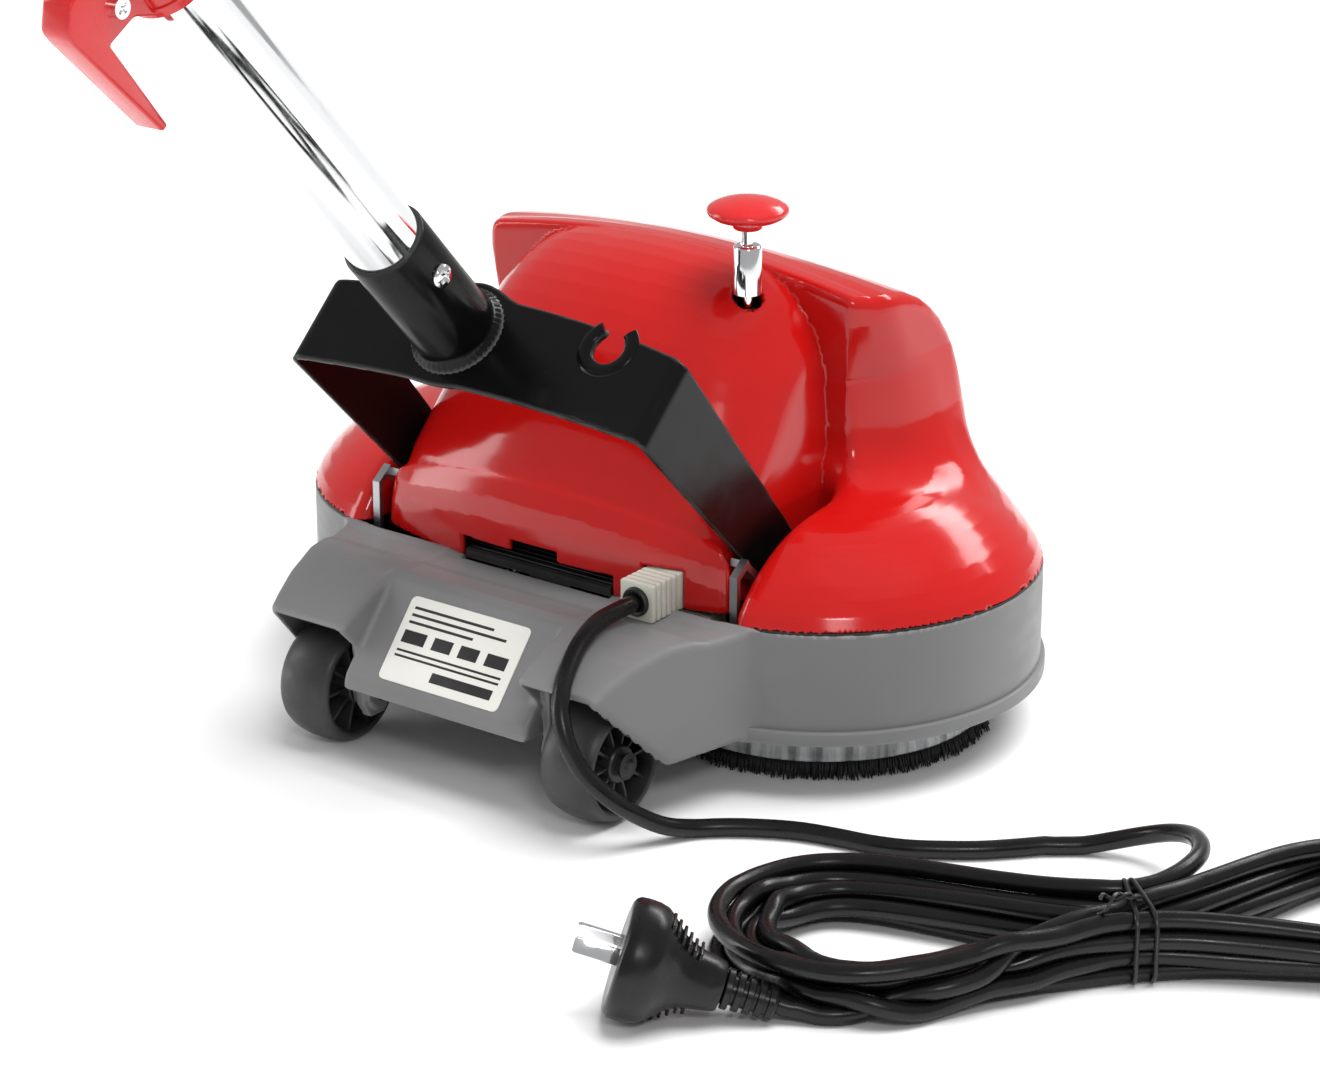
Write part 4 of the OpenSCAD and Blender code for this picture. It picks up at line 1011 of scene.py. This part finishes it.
def yoke_field(x, b, h):
    """A strap bent into a U, its bar wider in the middle and at the tube, with a notch for the lock rod."""
    a = np.abs(x)
    qx, qh = a - YOKE_HALF + CORNER, h - YOKE_TOP + CORNER
    outer = np.hypot(np.maximum(qx, 0), np.maximum(qh, 0)) + np.minimum(np.maximum(qx, qh), 0) - CORNER
    strap = smax(outer, -(outer + STRAP), 0.8)
    bow = 1 - (x / 92) ** 2
    bar = np.maximum(b - 20.1 - 8.4 * bow, -19.2 + 4.7 * bow - b)
    bar = smin(bar, np.hypot(x - TUBE_X, b - TUBE_B) - 24, 6)
    arms = outline_field(b, h, ARM)
    plan = np.where(a > YOKE_HALF - STRAP, arms, np.maximum(bar, 120 - h))
    body = smax(strap, plan, 1.2)
    slot = np.maximum(np.abs(x - NOTCH_X) - 3.75, NOTCH_B - b)
    notch = smin(np.hypot(x - NOTCH_X, b - NOTCH_B) - 6.9, slot, 2.5)
    return smax(body, -notch, 1.2)


points, faces, normals = skin(yoke_field, (-92, -20, -14), (92, 35, 137), 1.15)
add_piece("enamelled_yoke", points, faces, "black_steel", "handle", ("yoke",), normals=as_rows(normals),
          to=from_handle)

# The rolled rim round the notch, flattened onto the strap
a = np.radians(np.linspace(128, 412, 60))
rim = np.column_stack([NOTCH_X + 10.6 * np.cos(a), NOTCH_B + 10.6 * np.sin(a), np.full(60, YOKE_TOP - 0.4)])
points, faces = tube(rim, 3.1, 14)
points[:, 2] = YOKE_TOP + (points[:, 2] - YOKE_TOP) * 0.42
add_piece("notch_rim", points, faces, "black_steel", "handle", to=from_handle)

# The tube's socket, with ripples in its weld bead
AT_TUBE = (TUBE_X, TUBE_B, 0)
socket = [(16.1, 136.1), (20.9, 136.0), (20.3, 137.3), (18.6, 138.7), (17.9, 140.4), (17.75, 142),
          (17.75, 202.6), (17.4, 203.6), (16.9, 204), (16.1, 204), (16.1, 150)]
points, faces = lathe(socket, 128, AS_DRAWN, AT_TUBE)
around = np.arctan2(points[:, 1] - TUBE_B, points[:, 0] - TUBE_X)
bead = (points[:, 2] < 139.5) & (points[:, 2] > 135.9)
ripple = 0.35 * np.sin(46 * around)
points[bead, :2] += (np.column_stack([np.cos(around), np.sin(around)]) * ripple[:, None])[bead]
add_piece("welded_socket", points, faces, "black_steel", "handle", ("tube_socket",), to=from_handle, sharp=50)


def cross_screw(name, radius, height, at):
    """A pan head with a cross recess, facing right, in the handle frame."""
    crown, wide, long = 1.9 * radius, 0.16 * radius, 0.62 * radius

    def field(x, y, z):
        r = np.hypot(x, y)
        dome = smax(np.maximum(np.hypot(r, z - height + crown) - crown, -0.2 - z), r - radius, 0.9)
        arms = np.minimum(np.maximum(np.abs(x) - wide, np.abs(y) - long),
                          np.maximum(np.abs(y) - wide, np.abs(x) - long))
        recess = np.maximum(smin(arms, r - 1.5 * wide, 0.4), 0.35 * height + 0.5 * r - z)
        return smax(dome, -recess, 0.25)

    points, faces, normals = skin(field, (-radius, -radius, -0.4), (radius, radius, height), 0.22)
    add_piece(name, turned(points, ALONG_X, at), faces, "chrome", "handle",
              normals=as_rows(turned(normals, ALONG_X)), to=from_handle)


BOLT_H = 183
cross_screw("socket_screw", 5.0, 3.3, (TUBE_X + 17.6, TUBE_B, BOLT_H))
nut = [(0, -21.2), (4.2, -21.2), (4.6, -20.4), (4.6, -17), (0, -17)]
add_piece("socket_nut", *lathe(nut, 6, ALONG_X, (TUBE_X, TUBE_B, BOLT_H)), "chrome", "handle",
          ("socket_bolt",), to=from_handle, sharp=20)

tube_profile = [(14.5, 133.2), (16, 133.2), (16, 560), (14.5, 560)]
add_piece("chrome_tube", *lathe(tube_profile, 160, AS_DRAWN, AT_TUBE), "chrome", "handle", ("lower_tube",),
          to=from_handle)

# The lower cord hook: a collar with two beads, and a rounded L-shaped arm
arm = rounded([(0, 377), (0, 416), (-14, 418), (-32, 417), (-41, 410), (-41, 403), (-36.5, 345), (-33, 345),
               (-30, 390), (-15, 387), (-8, 378)], [2, 2, 2, 4, 6, 5, 3, 1.2, 1.2, 5, 5], 5)
arm_points, arm_faces = slab(arm, -7, 7, 1.3)
collar = [(16.1, 376), (18.2, 376), (18.9, 376.6), (19, 378), (19, 414), (18.9, 415.4), (18.2, 416),
          (16.1, 416)]
parts = [(turned(arm_points, ALONG_X, (TUBE_X, 0, 0)), arm_faces), lathe(collar, 96, AS_DRAWN, AT_TUBE)]
for edge in (381, 411):
    bead = [(18.6, edge - 1.2), (19.7, edge - 0.8), (19.9, edge), (19.7, edge + 0.8), (18.6, edge + 1.2)]
    parts.append(lathe(bead, 96, AS_DRAWN, AT_TUBE))
add_piece("cord_hook", *joined(parts), "red_plastic", "handle", ("lower_hook",), to=from_handle)
cross_screw("hook_screw", 4.0, 2.6, (TUBE_X + 7, -18, 397))

# Knob on its rod, and the bush
knob = [(0, 217.9), (5.6, 217.9), (6.1, 218.3), (6.3, 219.4), (7.2, 220.4), (10.2, 221.3), (14.2, 222.7),
        (16.6, 224.3), (17.3, 225.6), (17.2, 226.6), (16.2, 227.7), (13.2, 229.2), (9, 230.5), (4.5, 231.3),
        (0, 231.5)]
at_knob = (KNOB[0], KNOB[1], 0)
add_piece("push_knob", *lathe(knob, 128, AS_DRAWN, at_knob), "red_plastic", "lock", ("lock_knob",), sharp=50)
bush = [(2.6, 190), (6, 190), (6, 209.9), (5.6, 210.6), (4.8, 211), (3.3, 211), (2.6, 210.4)]
add_piece("chrome_bush", *lathe(bush, 96, AS_DRAWN, at_knob), "chrome", "chassis", ("guide_bush",), sharp=35)


# ---------- finishes of the CAD nodes that show as they are ----------

slot_of = {part["node"]: part["material_slot"] for part in frame["record"]["subparts"]}
for node, piece in frame["nodes"].items():
    if not piece.hide_render:
        piece.data.materials.clear()
        piece.data.materials.append(MATERIALS[slot_of[node]])


# ---------- floor and light ----------

FLOOR_HALF = 60


def make_floor():
    mesh = bpy.data.meshes.new("floor")
    corners = [(FLOOR_HALF * x, FLOOR_HALF * y, 0) for x, y in ((-1, -1), (1, -1), (1, 1), (-1, 1))]
    mesh.from_pydata(corners, [], [(0, 1, 2, 3)])
    mesh.materials.append(new_material("floor", (0.93, 0.93, 0.93), 0.55))
    floor = linked(bpy.data.objects.new("floor", mesh))


def make_light(name, at, aim, size, power):
    data = bpy.data.lights.new(name, "AREA")
    data.shape = "RECTANGLE"
    data.size, data.size_y = size
    data.energy = power
    lamp = linked(bpy.data.objects.new(name, data))
    lamp.location = place(at)
    toward = Vector(place(aim)) - Vector(place(at))
    lamp.rotation_mode = "QUATERNION"
    lamp.rotation_quaternion = toward.to_track_quat("-Z", "Y")


def make_sky(world_strength, sun_energy, sun_angle):
    """An even white sky, and a wide overhead light that doesn't show in reflections."""
    world = bpy.data.worlds.new("studio")
    bpy.context.scene.world = world
    world.use_nodes = True
    background = world.node_tree.nodes["Background"]
    background.inputs["Color"].default_value = (1, 1, 1, 1)
    background.inputs["Strength"].default_value = world_strength
    sun = bpy.data.lights.new("overhead", "SUN")
    sun.energy = sun_energy
    sun.angle = math.radians(sun_angle)
    overhead = linked(bpy.data.objects.new("overhead", sun))
    overhead.rotation_euler = (math.radians(-8), math.radians(14), 0)
    overhead.visible_glossy = False


make_floor()
make_sky(0.42, 2.9, 40)
make_light("window", (1500, -1300, 1500), (0, 100, 100), (0.5, 0.35), 9)
make_light("left", (-1500, -700, 500), (0, 100, 120), (0.5, 1.2), 8)
make_light("behind", (300, 1700, 1300), (0, 120, 120), (1.4, 0.4), 12)
bpy.context.scene.view_settings.view_transform = "Standard"
